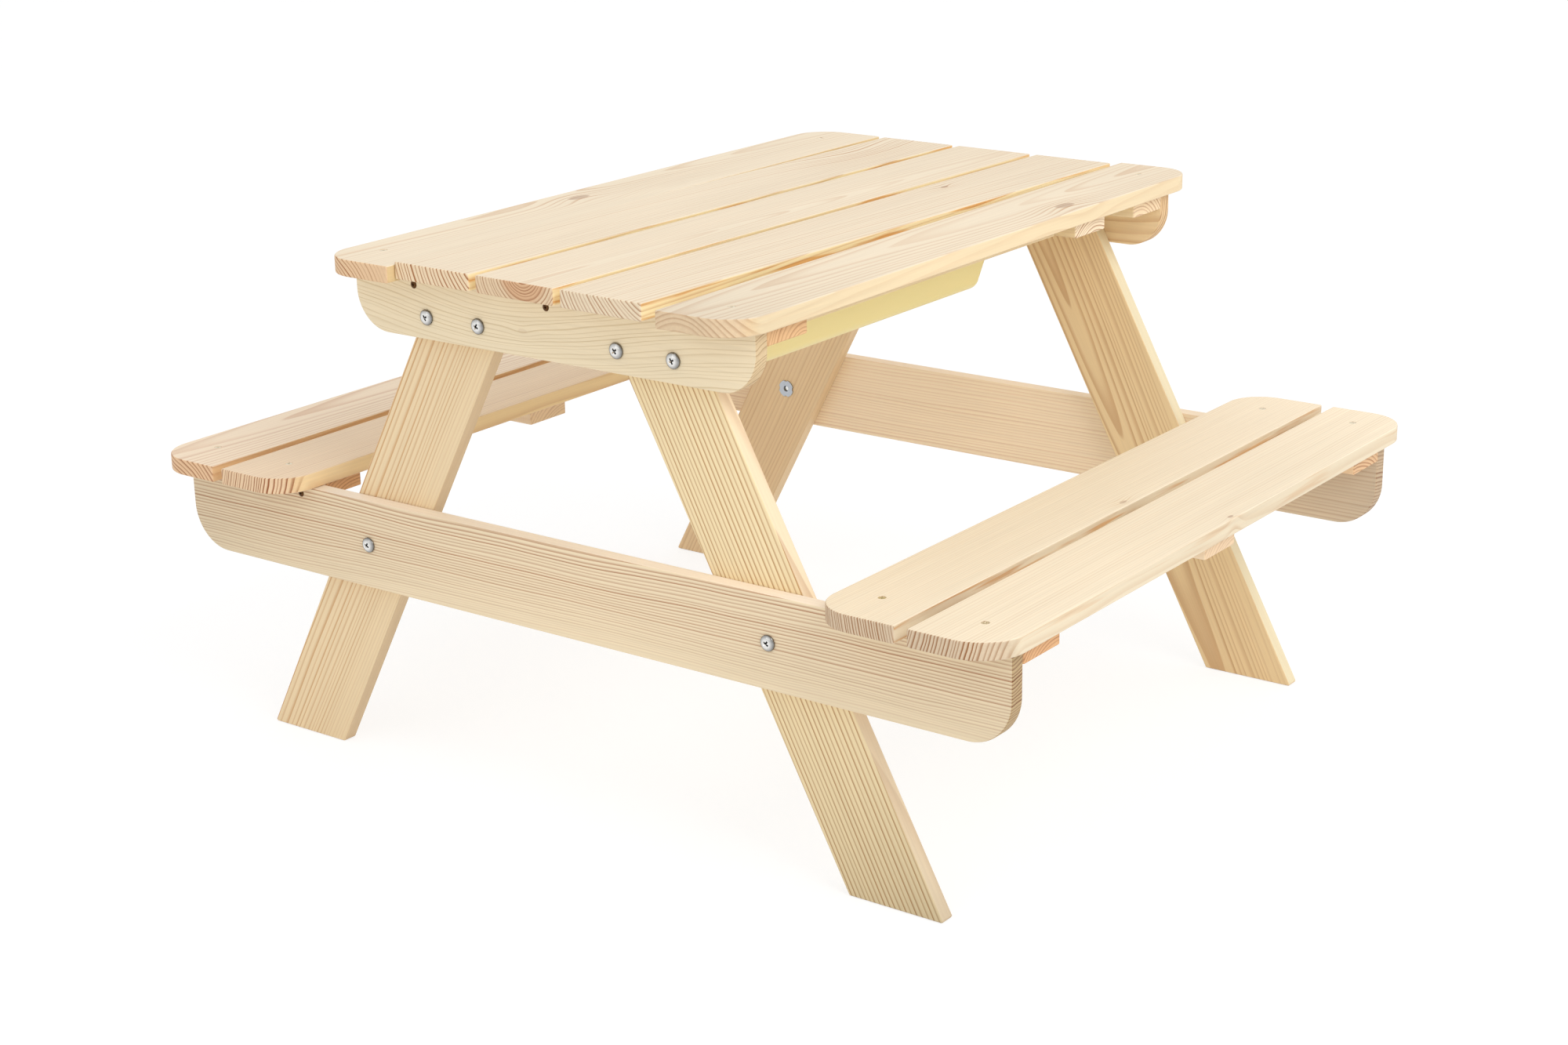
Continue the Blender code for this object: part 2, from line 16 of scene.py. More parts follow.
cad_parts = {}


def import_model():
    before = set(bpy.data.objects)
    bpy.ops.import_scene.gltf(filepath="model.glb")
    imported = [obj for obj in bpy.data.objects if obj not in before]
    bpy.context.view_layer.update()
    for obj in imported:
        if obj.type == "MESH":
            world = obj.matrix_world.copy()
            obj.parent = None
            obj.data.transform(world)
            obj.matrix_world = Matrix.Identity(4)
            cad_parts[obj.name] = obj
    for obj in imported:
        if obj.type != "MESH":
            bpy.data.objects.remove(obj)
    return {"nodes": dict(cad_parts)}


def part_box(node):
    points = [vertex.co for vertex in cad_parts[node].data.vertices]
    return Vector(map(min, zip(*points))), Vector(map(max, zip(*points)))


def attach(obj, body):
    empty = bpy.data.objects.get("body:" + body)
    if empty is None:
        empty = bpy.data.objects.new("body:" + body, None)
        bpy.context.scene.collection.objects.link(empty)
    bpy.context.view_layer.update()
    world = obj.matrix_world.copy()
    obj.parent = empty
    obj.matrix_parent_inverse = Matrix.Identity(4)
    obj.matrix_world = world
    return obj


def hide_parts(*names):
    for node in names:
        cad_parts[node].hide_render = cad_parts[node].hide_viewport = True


LOG = logging.getLogger("picnic_table")

# Names of the attributes that meshes hand to materials and to Geometry Nodes.
GRAIN = "grain"
FACING = "facing"
# The bolts' painted shade, dark in their recess and at their rim.
PAINTED_SHADE = "soil"

# The display curve: its top, and the knee, slope, offset and power of its two parts.
DISPLAY_TOP = 255
CURVE_KNEE = 0.04045
CURVE_SLOPE = 12.92
CURVE_OFFSET = 0.055
CURVE_POWER = 2.4

WHITE = (1.0, 1.0, 1.0, 1.0)

# Corners of a board on edge that point down, as signs along and across.
LOWER_CORNERS = ((-1, -1), (1, -1))

Triple = tuple[float, float, float]
Colour = tuple[float, float, float]
Display = tuple[int, int, int]
Axes = tuple[Vector, Vector, Vector]
Place = tuple[Vector, Vector]
Socket = bpy.types.NodeSocket
Tree = bpy.types.NodeTree


class Sign(Enum):
    """A choice between two directions, each with its sign."""

    @property
    def word(self) -> str:
        """Return the choice as the CAD nodes' names spell it."""
        return self.name.lower()


class Side(Sign):
    """A side of the table, with the sign of its X."""

    LEFT = -1
    RIGHT = 1


class End(Sign):
    """An end of the table, with the sign of its Y."""

    NEAR = -1
    FAR = 1


def channel(value: int) -> float:
    """Turn one display channel of 0 to 255 into a linear one.

    Args:
        value: The display channel.

    Returns:
        The linear channel, 0 to 1.
    """
    share = value / DISPLAY_TOP
    if share <= CURVE_KNEE:
        return share / CURVE_SLOPE
    return ((share + CURVE_OFFSET) / (1 + CURVE_OFFSET)) ** CURVE_POWER


def linear(red: int, green: int, blue: int) -> tuple[float, float, float, float]:
    """Return a display colour of 0 to 255 as an opaque shader colour."""
    return (channel(red), channel(green), channel(blue), 1.0)


@dataclass(frozen=True)
class Graph:
    """Adds nodes to a shader or geometry tree and joins their sockets.

    Args:
        tree: The tree.
    """

    tree: Tree

    # Numbers of a mix node's share, first and second colour, and of its mixed colour.
    MIX_INPUTS = (0, 6, 7)
    MIX_OUTPUT = 2

    def add(self, kind: str, inputs: dict | None = None, **settings: object) -> bpy.types.Node:
        """Add a node.

        Args:
            kind: The node's type name.
            inputs: Values or sockets by input name or number.
            settings: Properties of the node.

        Returns:
            The new node.
        """
        node = self.tree.nodes.new(kind)
        for name, value in settings.items():
            setattr(node, name, value)
        self.fill(node, inputs or {})
        return node

    def join(self, value: object, socket: Socket) -> None:
        """Link a socket to an input, or write a plain value on it.

        Args:
            value: A socket or a plain value.
            socket: The input.
        """
        if isinstance(value, bpy.types.NodeSocket):
            self.tree.links.new(value, socket)
        else:
            socket.default_value = value

    def fill(self, node: bpy.types.Node, values: dict) -> None:
        """Join values to a node's inputs.

        Args:
            node: The node.
            values: Values or sockets by input name or number.
        """
        for key, value in values.items():
            self.join(value, node.inputs[key])

    def math(self, operation: str, *values: object, clamp: bool = False) -> Socket:
        """Add a math node and return its result."""
        return self.add("ShaderNodeMath", dict(enumerate(values)), operation=operation,
                        use_clamp=clamp).outputs[0]

    def plus(self, first: object, second: object, clamp: bool = False) -> Socket:
        """Return the sum of two numbers."""
        return self.math("ADD", first, second, clamp=clamp)

    def minus(self, first: object, second: object, clamp: bool = False) -> Socket:
        """Return the difference of two numbers."""
        return self.math("SUBTRACT", first, second, clamp=clamp)

    def times(self, first: object, second: object, clamp: bool = False) -> Socket:
        """Return the product of two numbers."""
        return self.math("MULTIPLY", first, second, clamp=clamp)

    def line(self, value: object, slope: object, start: object, clamp: bool = False) -> Socket:
        """Return a number times a slope, and a start added."""
        return self.math("MULTIPLY_ADD", value, slope, start, clamp=clamp)

    def vector(self, operation: str, *values: object) -> Socket:
        """Add a vector math node and return its vector."""
        return self.add("ShaderNodeVectorMath", dict(enumerate(values)),
                        operation=operation).outputs["Vector"]

    def number(self, operation: str, *values: object) -> Socket:
        """Add a vector math node and return its number."""
        return self.add("ShaderNodeVectorMath", dict(enumerate(values)),
                        operation=operation).outputs["Value"]

    def triple(self, value: Socket) -> Socket:
        """Return a vector with one number in all three places."""
        return self.add("ShaderNodeCombineXYZ", {0: value, 1: value, 2: value}).outputs[0]

    def step(self, value: Socket, low: object, high: object) -> Socket:
        """Add a smooth step.

        Args:
            value: The number that rises.
            low: Where the step gives nothing.
            high: Where the step gives one.

        Returns:
            The step, 0 to 1.
        """
        return self.add("ShaderNodeMapRange", {"Value": value, "From Min": low, "From Max": high},
                        interpolation_type="SMOOTHSTEP").outputs["Result"]

    def noise(self, place: Socket, waves: Triple, detail: float = 2.0,
              roughness: float = 0.5) -> Socket:
        """Add a noise about zero.

        Args:
            place: Where it is read.
            waves: Its waves for each metre along the three axes.
            detail: How many finer noises it adds.
            roughness: How strong these are.

        Returns:
            The noise, about -0.5 to 0.5.
        """
        scaled = self.vector("MULTIPLY", place, waves)
        node = self.add("ShaderNodeTexNoise", {"Vector": scaled, "Scale": 1.0, "Detail": detail,
                                               "Roughness": roughness})
        return self.minus(node.outputs[0], 0.5)

    def mix(self, share: object, first: object, second: object, blend: str = "MIX") -> Socket:
        """Add a colour mix.

        Args:
            share: How much of the second colour shows.
            first: The first colour.
            second: The second colour.
            blend: How the second is laid on.

        Returns:
            The mixed colour.
        """
        return self.add("ShaderNodeMix", dict(zip(self.MIX_INPUTS, (share, first, second))),
                        data_type="RGBA", blend_type=blend,
                        clamp_factor=True).outputs[self.MIX_OUTPUT]

    def tint(self, share: object, colour: object, tint: object) -> Socket:
        """Return a colour multiplied by a tint where a share says so."""
        return self.mix(share, colour, self.mix(1.0, colour, tint, "MULTIPLY"))


class Group:
    """A shared node group with named inputs and outputs."""

    def __init__(self, name: str, kind: str, inputs: dict[str, str],
                 outputs: dict[str, str]) -> None:
        """Make an empty group.

        Args:
            name: Name of the group.
            kind: Type of its tree.
            inputs: Socket type by input name.
            outputs: Socket type by output name.
        """
        self.tree = bpy.data.node_groups.new(name, kind)
        for way, sockets in (("INPUT", inputs), ("OUTPUT", outputs)):
            for title, socket in sockets.items():
                self.tree.interface.new_socket(title, in_out=way, socket_type=socket)
        self.graph = Graph(self.tree)
        self.inputs = self.tree.nodes.new("NodeGroupInput").outputs
        self.results = self.tree.nodes.new("NodeGroupOutput").inputs

    def finish(self, values: dict[str, Socket]) -> Tree:
        """Join the group's results.

        Args:
            values: The socket for each output name.

        Returns:
            The finished tree.
        """
        for title, value in values.items():
            self.graph.join(value, self.results[title])
        return self.tree


# Pine

@dataclass(frozen=True)
class Knot:
    """A knot on a board's face, in metres from the board's middle.

    Args:
        along: Its place along the grain.
        across: Its place across the grain.
        radius: Its radius.
        dark: Strength of its brown.
    """

    along: float
    across: float
    radius: float
    dark: float


NO_KNOT = Knot(9.0, 9.0, 0.005, 0.0)


@dataclass(frozen=True)
class PineCut:
    """How a board was sawn from its log, and its tones.

    Args:
        pith: Place of the log's middle across and through the board, from the board's middle.
        drift: How far the pith moves across and through for each metre along.
        spacing: Width of a yearly ring at the board's middle.
        gain: How much finer each ring is than the one inside it.
        uneven: How much the rings' widths differ.
        width: Share of a ring that darkens towards its edge.
        wander: How far the rings stray.
        seed: Moves every noise.
        early: Display colour of the pale early wood.
        late: Display colour of the dark late wood.
        face: Strength of the rings on the long faces.
        fade: Loss of that strength for each metre outwards from the board's middle.
        end: Strength of the rings on the sawn ends.
        tip: Multiplier of the colour on the sawn ends.
        side: Multiplier of the colour on the board's long narrow sides: their own tone, and
        painted light and shade for how the light falls on them.
        side_face: Multiplier of the rings' strength there.
        streak: Strength of the orange streaks there.
        dim: Painted shade towards the near end or foot and towards the other end, by the metre
        squared. A negative one paints light.
        heart: Radius of the reddish heartwood round the pith.
        crowd: How much stronger the rings are next to a knot.
        knots: Up to two knots. One without any brown only bends the rings.
    """

    pith: tuple[float, float] = (0.02, -0.06)
    drift: tuple[float, float] = (0.01, 0.02)
    spacing: float = 0.0045
    gain: float = 0.0
    uneven: float = 1.2
    width: float = 0.6
    wander: float = 0.004
    seed: float = 1.0
    early: Display = (244, 224, 184)
    late: Display = (196, 146, 92)
    face: float = 0.5
    fade: float = 0.0
    end: float = 0.9
    tip: Colour = (1.0, 1.0, 1.0)
    side: Colour = (1.0, 1.0, 1.0)
    side_face: float = 0.4
    streak: float = 0.0
    dim: tuple[float, float] = (0.0, 0.0)
    heart: float = 0.0
    crowd: float = 1.4
    knots: tuple[Knot, ...] = ()


@dataclass(frozen=True)
class PineRings:
    """The shared ring pattern of sawn pine, as masks.

    Args:
        seed_step: How a seed moves the noises along, across and through the board.
        knot_squeeze: How a knot's oval is measured along, across and through the board.
        knot_fall: How fast a knot's push on the rings dies away.
        knot_push: How far a knot pushes the rings, by its radius.
        knot_rim: Shares of a knot's radius between which it fades.
        long_waves: Waves for each metre of the rings' slow wander.
        long_share: Its strength.
        short_waves: Waves for each metre of their quick wander.
        short_share: Its strength.
        width_waves: How often the rings' width changes, by the ring.
        peak: Share of a ring at which its late wood is darkest.
        edge: Shares of a ring between which the next early wood starts.
        faintest: Strength of the faintest ring.
        streak_waves: Waves for each metre of the streaks.
        streak_rim: Heights of that noise between which a streak fades in.
        fibre_waves: Waves for each metre of the fibres.
        fibre_roughness: How strong their finer noises are.
        cloud_waves: Waves for each metre of the broad clouds.
        heart_rim: Shares of the heart's radius between which it fades.
        heart_least: Radius of the heart in a board without any.
    """

    seed_step: Triple = (1.31, 0.37, 0.73)
    knot_squeeze: Triple = (0.45, 1.0, 0.0)
    knot_fall: float = -0.16
    knot_push: float = 1.3
    knot_rim: tuple[float, float] = (0.95, 0.6)
    long_waves: Triple = (2.6, 11.0, 11.0)
    long_share: float = 2.0
    short_waves: Triple = (9.0, 60.0, 60.0)
    short_share: float = 0.35
    width_waves: float = 0.31
    peak: float = 0.91
    edge: tuple[float, float] = (1.0, 0.94)
    faintest: float = 0.45
    streak_waves: Triple = (7.0, 0.0, 150.0)
    streak_rim: tuple[float, float] = (0.02, 0.14)
    fibre_waves: Triple = (9.0, 420.0, 420.0)
    fibre_roughness: float = 0.6
    cloud_waves: Triple = (3.0, 14.0, 14.0)
    heart_rim: tuple[float, float] = (1.15, 0.85)
    heart_least: float = 0.0001

    INPUTS = {
        **dict.fromkeys(("Grain", "Pith", "Drift", "Knot A", "Knot B"), "NodeSocketVector"),
        **dict.fromkeys(("Spacing", "Reference", "Gain", "Fade", "Uneven", "Width", "Wander",
                         "Seed", "Heart", "Crowd", "Knot A Radius", "Knot B Radius"),
                        "NodeSocketFloat"),
    }
    OUTPUTS = dict.fromkeys(("Late", "Fibre", "Cloud", "Streak", "Along", "Heart", "Knot A",
                             "Knot B"), "NodeSocketFloat")

    def knot(self, group: Group, which: str) -> tuple[Socket, Socket, Socket]:
        """Add a knot.

        Args:
            group: The group that is built.
            which: Name of the knot's input.

        Returns:
            How far it pushes the rings, its own mask, and how near it is.
        """
        g, given = group.graph, group.inputs
        radius = given[f"{which} Radius"]
        away = g.vector("MULTIPLY", g.vector("SUBTRACT", given["Grain"], given[which]),
                        self.knot_squeeze)
        ratio = g.math("DIVIDE", g.number("LENGTH", away), radius)
        near = g.math("EXPONENT", g.times(g.times(ratio, ratio), self.knot_fall))
        push = g.times(near, g.times(radius, self.knot_push))
        return push, g.step(ratio, *self.knot_rim), near

    def late_wood(self, group: Group, out: Socket, near: Socket) -> Socket:
        """Add the dark late wood of each ring.

        Args:
            group: The group that is built.
            out: Distance outwards from the ring at the board's middle.
            near: How near a knot is.

        Returns:
            The strength of the late wood.
        """
        g, given = group.graph, group.inputs
        count = g.math("DIVIDE", out, given["Spacing"])
        count = g.times(count, g.line(count, given["Gain"], 1.0))
        slid = g.plus(g.times(count, self.width_waves), given["Seed"])
        uneven = g.add("ShaderNodeTexNoise", {"W": slid, "Scale": 1.0, "Detail": 1.0},
                       noise_dimensions="1D").outputs[0]
        count = g.plus(count, g.times(uneven, given["Uneven"]))
        part = g.math("FRACT", count)
        year = g.plus(g.math("FLOOR", count), given["Seed"])
        chance = g.add("ShaderNodeTexWhiteNoise", {"W": year},
                       noise_dimensions="1D").outputs["Value"]
        rise = g.step(part, g.minus(1.0, given["Width"]), self.peak)
        late = g.times(rise, g.step(part, *self.edge))
        late = g.times(late, g.line(chance, 1.0 - self.faintest, self.faintest))
        late = g.times(late, g.minus(1.0, g.times(out, given["Fade"]), clamp=True))
        return g.times(late, g.line(near, given["Crowd"], 1.0))

    def build(self) -> Tree:
        """Build the tree: rings round a drifting pith, bent by noise and by knots.

        Returns:
            The tree.
        """
        group = Group("pine_rings", "ShaderNodeTree", self.INPUTS, self.OUTPUTS)
        g, given = group.graph, group.inputs
        place = g.vector("ADD", given["Grain"],
                         g.vector("MULTIPLY", g.triple(given["Seed"]), self.seed_step))
        along = g.add("ShaderNodeSeparateXYZ", {0: given["Grain"]}).outputs[0]
        centre = g.vector("ADD", given["Pith"],
                          g.vector("MULTIPLY", g.triple(along), given["Drift"]))
        flat = g.vector("MULTIPLY", g.vector("SUBTRACT", given["Grain"], centre), (0.0, 1.0, 1.0))
        push_a, knot_a, near_a = self.knot(group, "Knot A")
        push_b, knot_b, near_b = self.knot(group, "Knot B")
        slow = g.times(g.noise(place, self.long_waves, detail=1.0),
                       g.times(given["Wander"], self.long_share))
        quick = g.times(g.noise(place, self.short_waves, detail=1.0),
                        g.times(given["Wander"], self.short_share))
        radius = g.plus(g.plus(g.number("LENGTH", flat), g.plus(slow, quick)),
                        g.plus(push_a, push_b))
        out = g.minus(radius, given["Reference"])
        heart = g.math("DIVIDE", radius, g.math("MAXIMUM", given["Heart"], self.heart_least))
        return group.finish({
            "Late": self.late_wood(group, out, g.math("MAXIMUM", near_a, near_b)),
            "Fibre": g.noise(place, self.fibre_waves, roughness=self.fibre_roughness),
            "Cloud": g.noise(place, self.cloud_waves),
            "Streak": g.step(g.noise(place, self.streak_waves), *self.streak_rim),
            "Along": along, "Heart": g.step(heart, *self.heart_rim),
            "Knot A": knot_a, "Knot B": knot_b})


@dataclass(frozen=True)
class PineTone:
    """The shared colouring of pine from its ring masks.

    Args:
        end_early: Multiplier of the early wood on sawn ends, as a display colour.
        end_late: Multiplier of the late wood on sawn ends.
        streak: Multiplier of the colour in a streak.
        heart: Multiplier of the colour in heartwood.
        heart_share: Strength of the heartwood on a sawn end.
        knot: Colour of a knot.
        fibre_share: How much the fibres lighten and darken.
        cloud_share: How much the clouds do.
        rough: Roughness of the early wood.
        late_gloss: Change of the roughness in the late wood.
        fibre_height: Relief of the fibres.
        late_height: Relief of the late wood.
    """

    end_early: Display = (246, 236, 224)
    end_late: Display = (204, 176, 150)
    streak: Display = (232, 188, 138)
    heart: Display = (232, 190, 158)
    heart_share: float = 0.55
    knot: Display = (150, 100, 66)
    fibre_share: float = 0.16
    cloud_share: float = 0.10
    rough: float = 0.62
    late_gloss: float = -0.08
    fibre_height: float = 0.5
    late_height: float = 0.35

    INPUTS = {
        **dict.fromkeys(("Late", "Fibre", "Cloud", "Heart", "Knot", "End", "Side", "Streak", "Dim",
                         "Face Strength", "End Strength", "Side Strength"), "NodeSocketFloat"),
        **dict.fromkeys(("Early Wood", "Late Wood", "Side Tint", "End Tint"), "NodeSocketColor"),
    }
    OUTPUTS = {"Colour": "NodeSocketColor", "Roughness": "NodeSocketFloat",
               "Height": "NodeSocketFloat"}

    def build(self) -> Tree:
        """Build the tree: early to late wood, sides, ends, streaks, heartwood and knots.

        Returns:
            The tree.
        """
        group = Group("pine_tone", "ShaderNodeTree", self.INPUTS, self.OUTPUTS)
        g, given = group.graph, group.inputs
        change = g.line(given["Side"], g.minus(given["Side Strength"], 1.0), 1.0)
        across = g.times(given["Face Strength"], change)
        strength = g.plus(g.times(across, g.minus(1.0, given["End"])),
                          g.times(given["End Strength"], given["End"]))
        rings = g.times(given["Late"], strength, clamp=True)
        early = g.tint(given["End"], given["Early Wood"], linear(*self.end_early))
        late = g.tint(given["End"], given["Late Wood"], linear(*self.end_late))
        wood = g.mix(rings, early, late)
        # The narrow sides' own tone, with painted light and shade for how the light falls on them.
        wood = g.tint(given["Side"], wood, given["Side Tint"])
        wood = g.tint(g.times(given["Streak"], given["Side"]), wood, linear(*self.streak))
        wood = g.tint(given["End"], wood, given["End Tint"])
        hearted = g.times(given["Heart"], g.times(given["End"], self.heart_share))
        wood = g.tint(hearted, wood, linear(*self.heart))
        level = g.plus(1.0, g.plus(g.times(given["Fibre"], self.fibre_share),
                                   g.times(given["Cloud"], self.cloud_share)))
        # Painted shade along the board, and painted light where that number is negative.
        wood = g.vector("MULTIPLY", wood, g.triple(g.plus(level, given["Dim"])))
        height = g.plus(g.times(given["Fibre"], self.fibre_height),
                        g.times(given["Late"], self.late_height))
        return group.finish({
            "Colour": g.mix(given["Knot"], wood, linear(*self.knot)),
            "Roughness": g.line(given["Late"], self.late_gloss, self.rough),
            "Height": height})


@dataclass(frozen=True)
class Pine:
    """Makes one material for each board, from the shared groups.

    Args:
        rings: The ring pattern.
        tone: The colouring.
        end_rim: Slopes between which a face starts to count as a sawn end.
        side_rim: Slopes between which a face starts to count as a narrow side.
        relief: Strength of the bump.
        relief_depth: Depth of the bump.
        shine: Specular level.
    """

    rings: Tree
    tone: Tree
    end_rim: tuple[float, float] = (0.12, 0.62)
    side_rim: tuple[float, float] = (0.72, 0.98)
    relief: float = 0.25
    relief_depth: float = 0.0004
    shine: float = 0.35

    def pattern(self, g: Graph, cut: PineCut, knots: list[Knot]) -> dict[str, Socket]:
        """Add the rings of a board.

        Args:
            g: The material's tree.
            cut: How the board was sawn.
            knots: Its two knots.

        Returns:
            The masks by name, with both knots in one and the painted shade along the board.
        """
        rings = g.add("ShaderNodeGroup", node_tree=self.rings)
        grain = g.add("ShaderNodeAttribute", attribute_name=GRAIN).outputs["Vector"]
        values = {"Grain": grain, "Pith": (0.0, *cut.pith), "Drift": (0.0, *cut.drift),
                  "Spacing": cut.spacing, "Reference": math.hypot(*cut.pith), "Gain": cut.gain,
                  "Fade": cut.fade, "Uneven": cut.uneven, "Width": cut.width,
                  "Wander": cut.wander, "Seed": cut.seed, "Heart": cut.heart,
                  "Crowd": cut.crowd}
        for letter, knot in zip("AB", knots):
            values[f"Knot {letter}"] = (knot.along, knot.across, 0.0)
            values[f"Knot {letter} Radius"] = knot.radius
        g.fill(rings, values)
        masks = dict(rings.outputs.items())
        # Painted shade towards either end of the board, squared; a negative number paints light.
        back = g.math("MINIMUM", masks["Along"], 0.0)
        ahead = g.math("MAXIMUM", masks["Along"], 0.0)
        painted_shadings = [g.times(g.times(reach, reach), -dim) for reach, dim in zip((back, ahead), cut.dim)]
        browns = [g.times(masks[f"Knot {letter}"], knot.dark) for letter, knot in zip("AB", knots)]
        return {"Late": masks["Late"], "Fibre": masks["Fibre"], "Cloud": masks["Cloud"],
                "Heart": masks["Heart"], "Knot": g.plus(*browns, clamp=True),
                "Streak": g.times(masks["Streak"], cut.streak), "Dim": g.plus(*painted_shadings)}

    def material(self, name: str, cut: PineCut, axes: Axes) -> bpy.types.Material:
        """Make a board's material.

        Args:
            name: Name of the material.
            cut: How the board was sawn, and its tones.
            axes: Directions along, across and through the board.

        Returns:
            The material.
        """
        material, g, shader = new_material(name)
        masks = self.pattern(g, cut, [*cut.knots, NO_KNOT, NO_KNOT][:2])
        normal = g.add("ShaderNodeTexCoord").outputs["Normal"]
        end, side = (g.step(g.math("ABSOLUTE", g.number("DOT_PRODUCT", normal, tuple(axis))), *rim)
                     for axis, rim in zip(axes, (self.end_rim, self.side_rim)))
        tone = g.add("ShaderNodeGroup", node_tree=self.tone)
        g.fill(tone, {**masks, "End": end, "Side": side, "Face Strength": cut.face,
                      "End Strength": cut.end, "Side Strength": cut.side_face,
                      "Early Wood": linear(*cut.early), "Late Wood": linear(*cut.late),
                      "Side Tint": (*cut.side, 1.0), "End Tint": (*cut.tip, 1.0)})
        bump = g.add("ShaderNodeBump", {"Height": tone.outputs["Height"], "Strength": self.relief,
                                        "Distance": self.relief_depth})
        g.fill(shader, {"Base Color": tone.outputs["Colour"],
                        "Roughness": tone.outputs["Roughness"],
                        "Normal": bump.outputs["Normal"], "Specular IOR Level": self.shine})
        return material


def new_material(name: str) -> tuple[bpy.types.Material, Graph, bpy.types.Node]:
    """Start a material.

    Args:
        name: Name of the material.

    Returns:
        The material, its tree and its Principled BSDF.
    """
    material = bpy.data.materials.new(name)
    material.use_nodes = True
    return material, Graph(material.node_tree), material.node_tree.nodes["Principled BSDF"]


# Boards

class Way(Enum):
    """How a board lies: the axes along its grain, across its face and through it."""

    FLAT_ALONG_Y = ((0, 1, 0), (1, 0, 0), (0, 0, 1))
    FLAT_ALONG_X = ((1, 0, 0), (0, 1, 0), (0, 0, 1))
    ON_EDGE_ALONG_X = ((1, 0, 0), (0, 0, 1), (0, -1, 0))

    def axes(self, turn: float = 0.0) -> Axes:
        """Return the three axes, turned about the upright."""
        spin = Matrix.Rotation(turn, 3, "Z")
        return tuple(spin @ Vector(axis) for axis in self.value)


@dataclass(frozen=True)
class Outline:
    """A convex outline with its own radius at each corner.

    Args:
        corners: The sharp corners, anticlockwise.
        radii: The radius at each corner.
        steps: The steps of the arc at each corner.
        least: The least radius that an inset leaves.
    """

    corners: list[Vector]
    radii: list[float]
    steps: list[int]
    least: float = 0.00005

    def inset_corners(self, inset: float) -> list[Vector]:
        """Move the sides inwards.

        Args:
            inset: How far they move.

        Returns:
            The corners at which they then meet.
        """
        count = len(self.corners)
        lines = []
        for index in range(count):
            start, end = self.corners[index], self.corners[(index + 1) % count]
            way = (end - start).normalized()
            lines.append((start + Vector((-way.y, way.x)) * inset, way))
        moved = []
        for index in range(count):
            (p, d), (q, e) = lines[index - 1], lines[index]
            cross = d.x * e.y - d.y * e.x
            gap = q - p
            moved.append(p + d * ((gap.x * e.y - gap.y * e.x) / cross))
        return moved

    def ring(self, inset: float) -> list[Vector]:
        """Round the outline, moved inwards.

        Args:
            inset: How far it moves.

        Returns:
            Its points.
        """
        corners = self.inset_corners(inset)
        points = []
        for index, corner in enumerate(corners):
            radius = max(self.radii[index] - inset, self.least)
            before = (corners[index - 1] - corner).normalized()
            after = (corners[(index + 1) % len(corners)] - corner).normalized()
            half = before.angle(after) / 2
            centre = corner + (before + after).normalized() * (radius / math.sin(half))
            first = corner + before * (radius / math.tan(half)) - centre
            last = corner + after * (radius / math.tan(half)) - centre
            sweep = first.angle_signed(last)
            for step in range(self.steps[index] + 1):
                spin = Matrix.Rotation(-sweep * step / self.steps[index], 2)
                points.append(centre + spin @ first)
        return points


@dataclass(frozen=True)
class Timber:
    """Makes a board as one closed mesh with eased edges.

    Args:
        arris: Radius of the long edges.
        arris_steps: Steps of their arcs.
        eased: Radius of the plain corners.
        eased_steps: Steps of their arcs.
        corner_steps: Steps of a rounded corner.
        crease: Angle past which an edge stays sharp.
    """

    arris: float = 0.0012
    arris_steps: int = 3
    eased: float = 0.0016
    eased_steps: int = 3
    corner_steps: int = 18
    crease: float = math.radians(12)

    def layers(self, thickness: float) -> list[tuple[float, float]]:
        """Follow the edge of a board from its upper face to its lower one.

        Args:
            thickness: Thickness of the board.

        Returns:
            The inset and the height of each layer.
        """
        upper = []
        for step in range(self.arris_steps + 1):
            angle = math.pi / 2 * step / self.arris_steps
            upper.append((self.arris * (1 - math.sin(angle)),
                          thickness / 2 - self.arris * (1 - math.cos(angle))))
        return upper + [(inset, -height) for inset, height in reversed(upper)]

    def mesh(self, name: str, outline: Outline, plane: Axes, centre: Vector,
             thickness: float) -> bpy.types.Mesh:
        """Sweep an outline through a thickness.

        Args:
            name: Name of the mesh.
            outline: The outline in the plane of the first two axes.
            plane: The two axes of the outline and the axis through the board.
            centre: Middle of the board.
            thickness: Thickness of the board.

        Returns:
            The mesh.
        """
        first, second, through = plane
        loops = [[centre + first * point.x + second * point.y + through * height
                  for point in outline.ring(inset)] for inset, height in self.layers(thickness)]
        bm = skin(loops)
        bm.faces.new(bm.verts[:len(loops[0])])
        bmesh.ops.recalc_face_normals(bm, faces=bm.faces)
        mesh = finished(bm, name)
        mesh.shade_smooth()
        mesh.set_sharp_from_angle(angle=self.crease)
        return mesh


def skin(loops: list[list[Vector]]) -> bmesh.types.BMesh:
    """Join loops of equal length into a tube and close its last loop.

    Args:
        loops: The points of each loop.

    Returns:
        The tube, open at its first loop.
    """
    bm = bmesh.new()
    rings = [[bm.verts.new(point) for point in loop] for loop in loops]
    bm.verts.ensure_lookup_table()
    for upper, lower in zip(rings, rings[1:]):
        for index in range(len(upper)):
            bm.faces.new((upper[index - 1], upper[index], lower[index], lower[index - 1]))
    bm.faces.new(rings[-1])
    return bm


def finished(bm: bmesh.types.BMesh, name: str) -> bpy.types.Mesh:
    """Turn an edit mesh into a mesh.

    Args:
        bm: The edit mesh, which is freed.
        name: Name of the mesh.

    Returns:
        The mesh.
    """
    mesh = bpy.data.meshes.new(name)
    bm.to_mesh(mesh)
    bm.free()
    return mesh


def hold(name: str, data: bpy.types.ID) -> bpy.types.Object:
    """Hold a mesh, a lamp or a camera as an object in the scene.

    Args:
        name: Name of the object.
        data: Its data.

    Returns:
        The object.
    """
    obj = bpy.data.objects.new(name, data)
    bpy.context.scene.collection.objects.link(obj)
    return obj


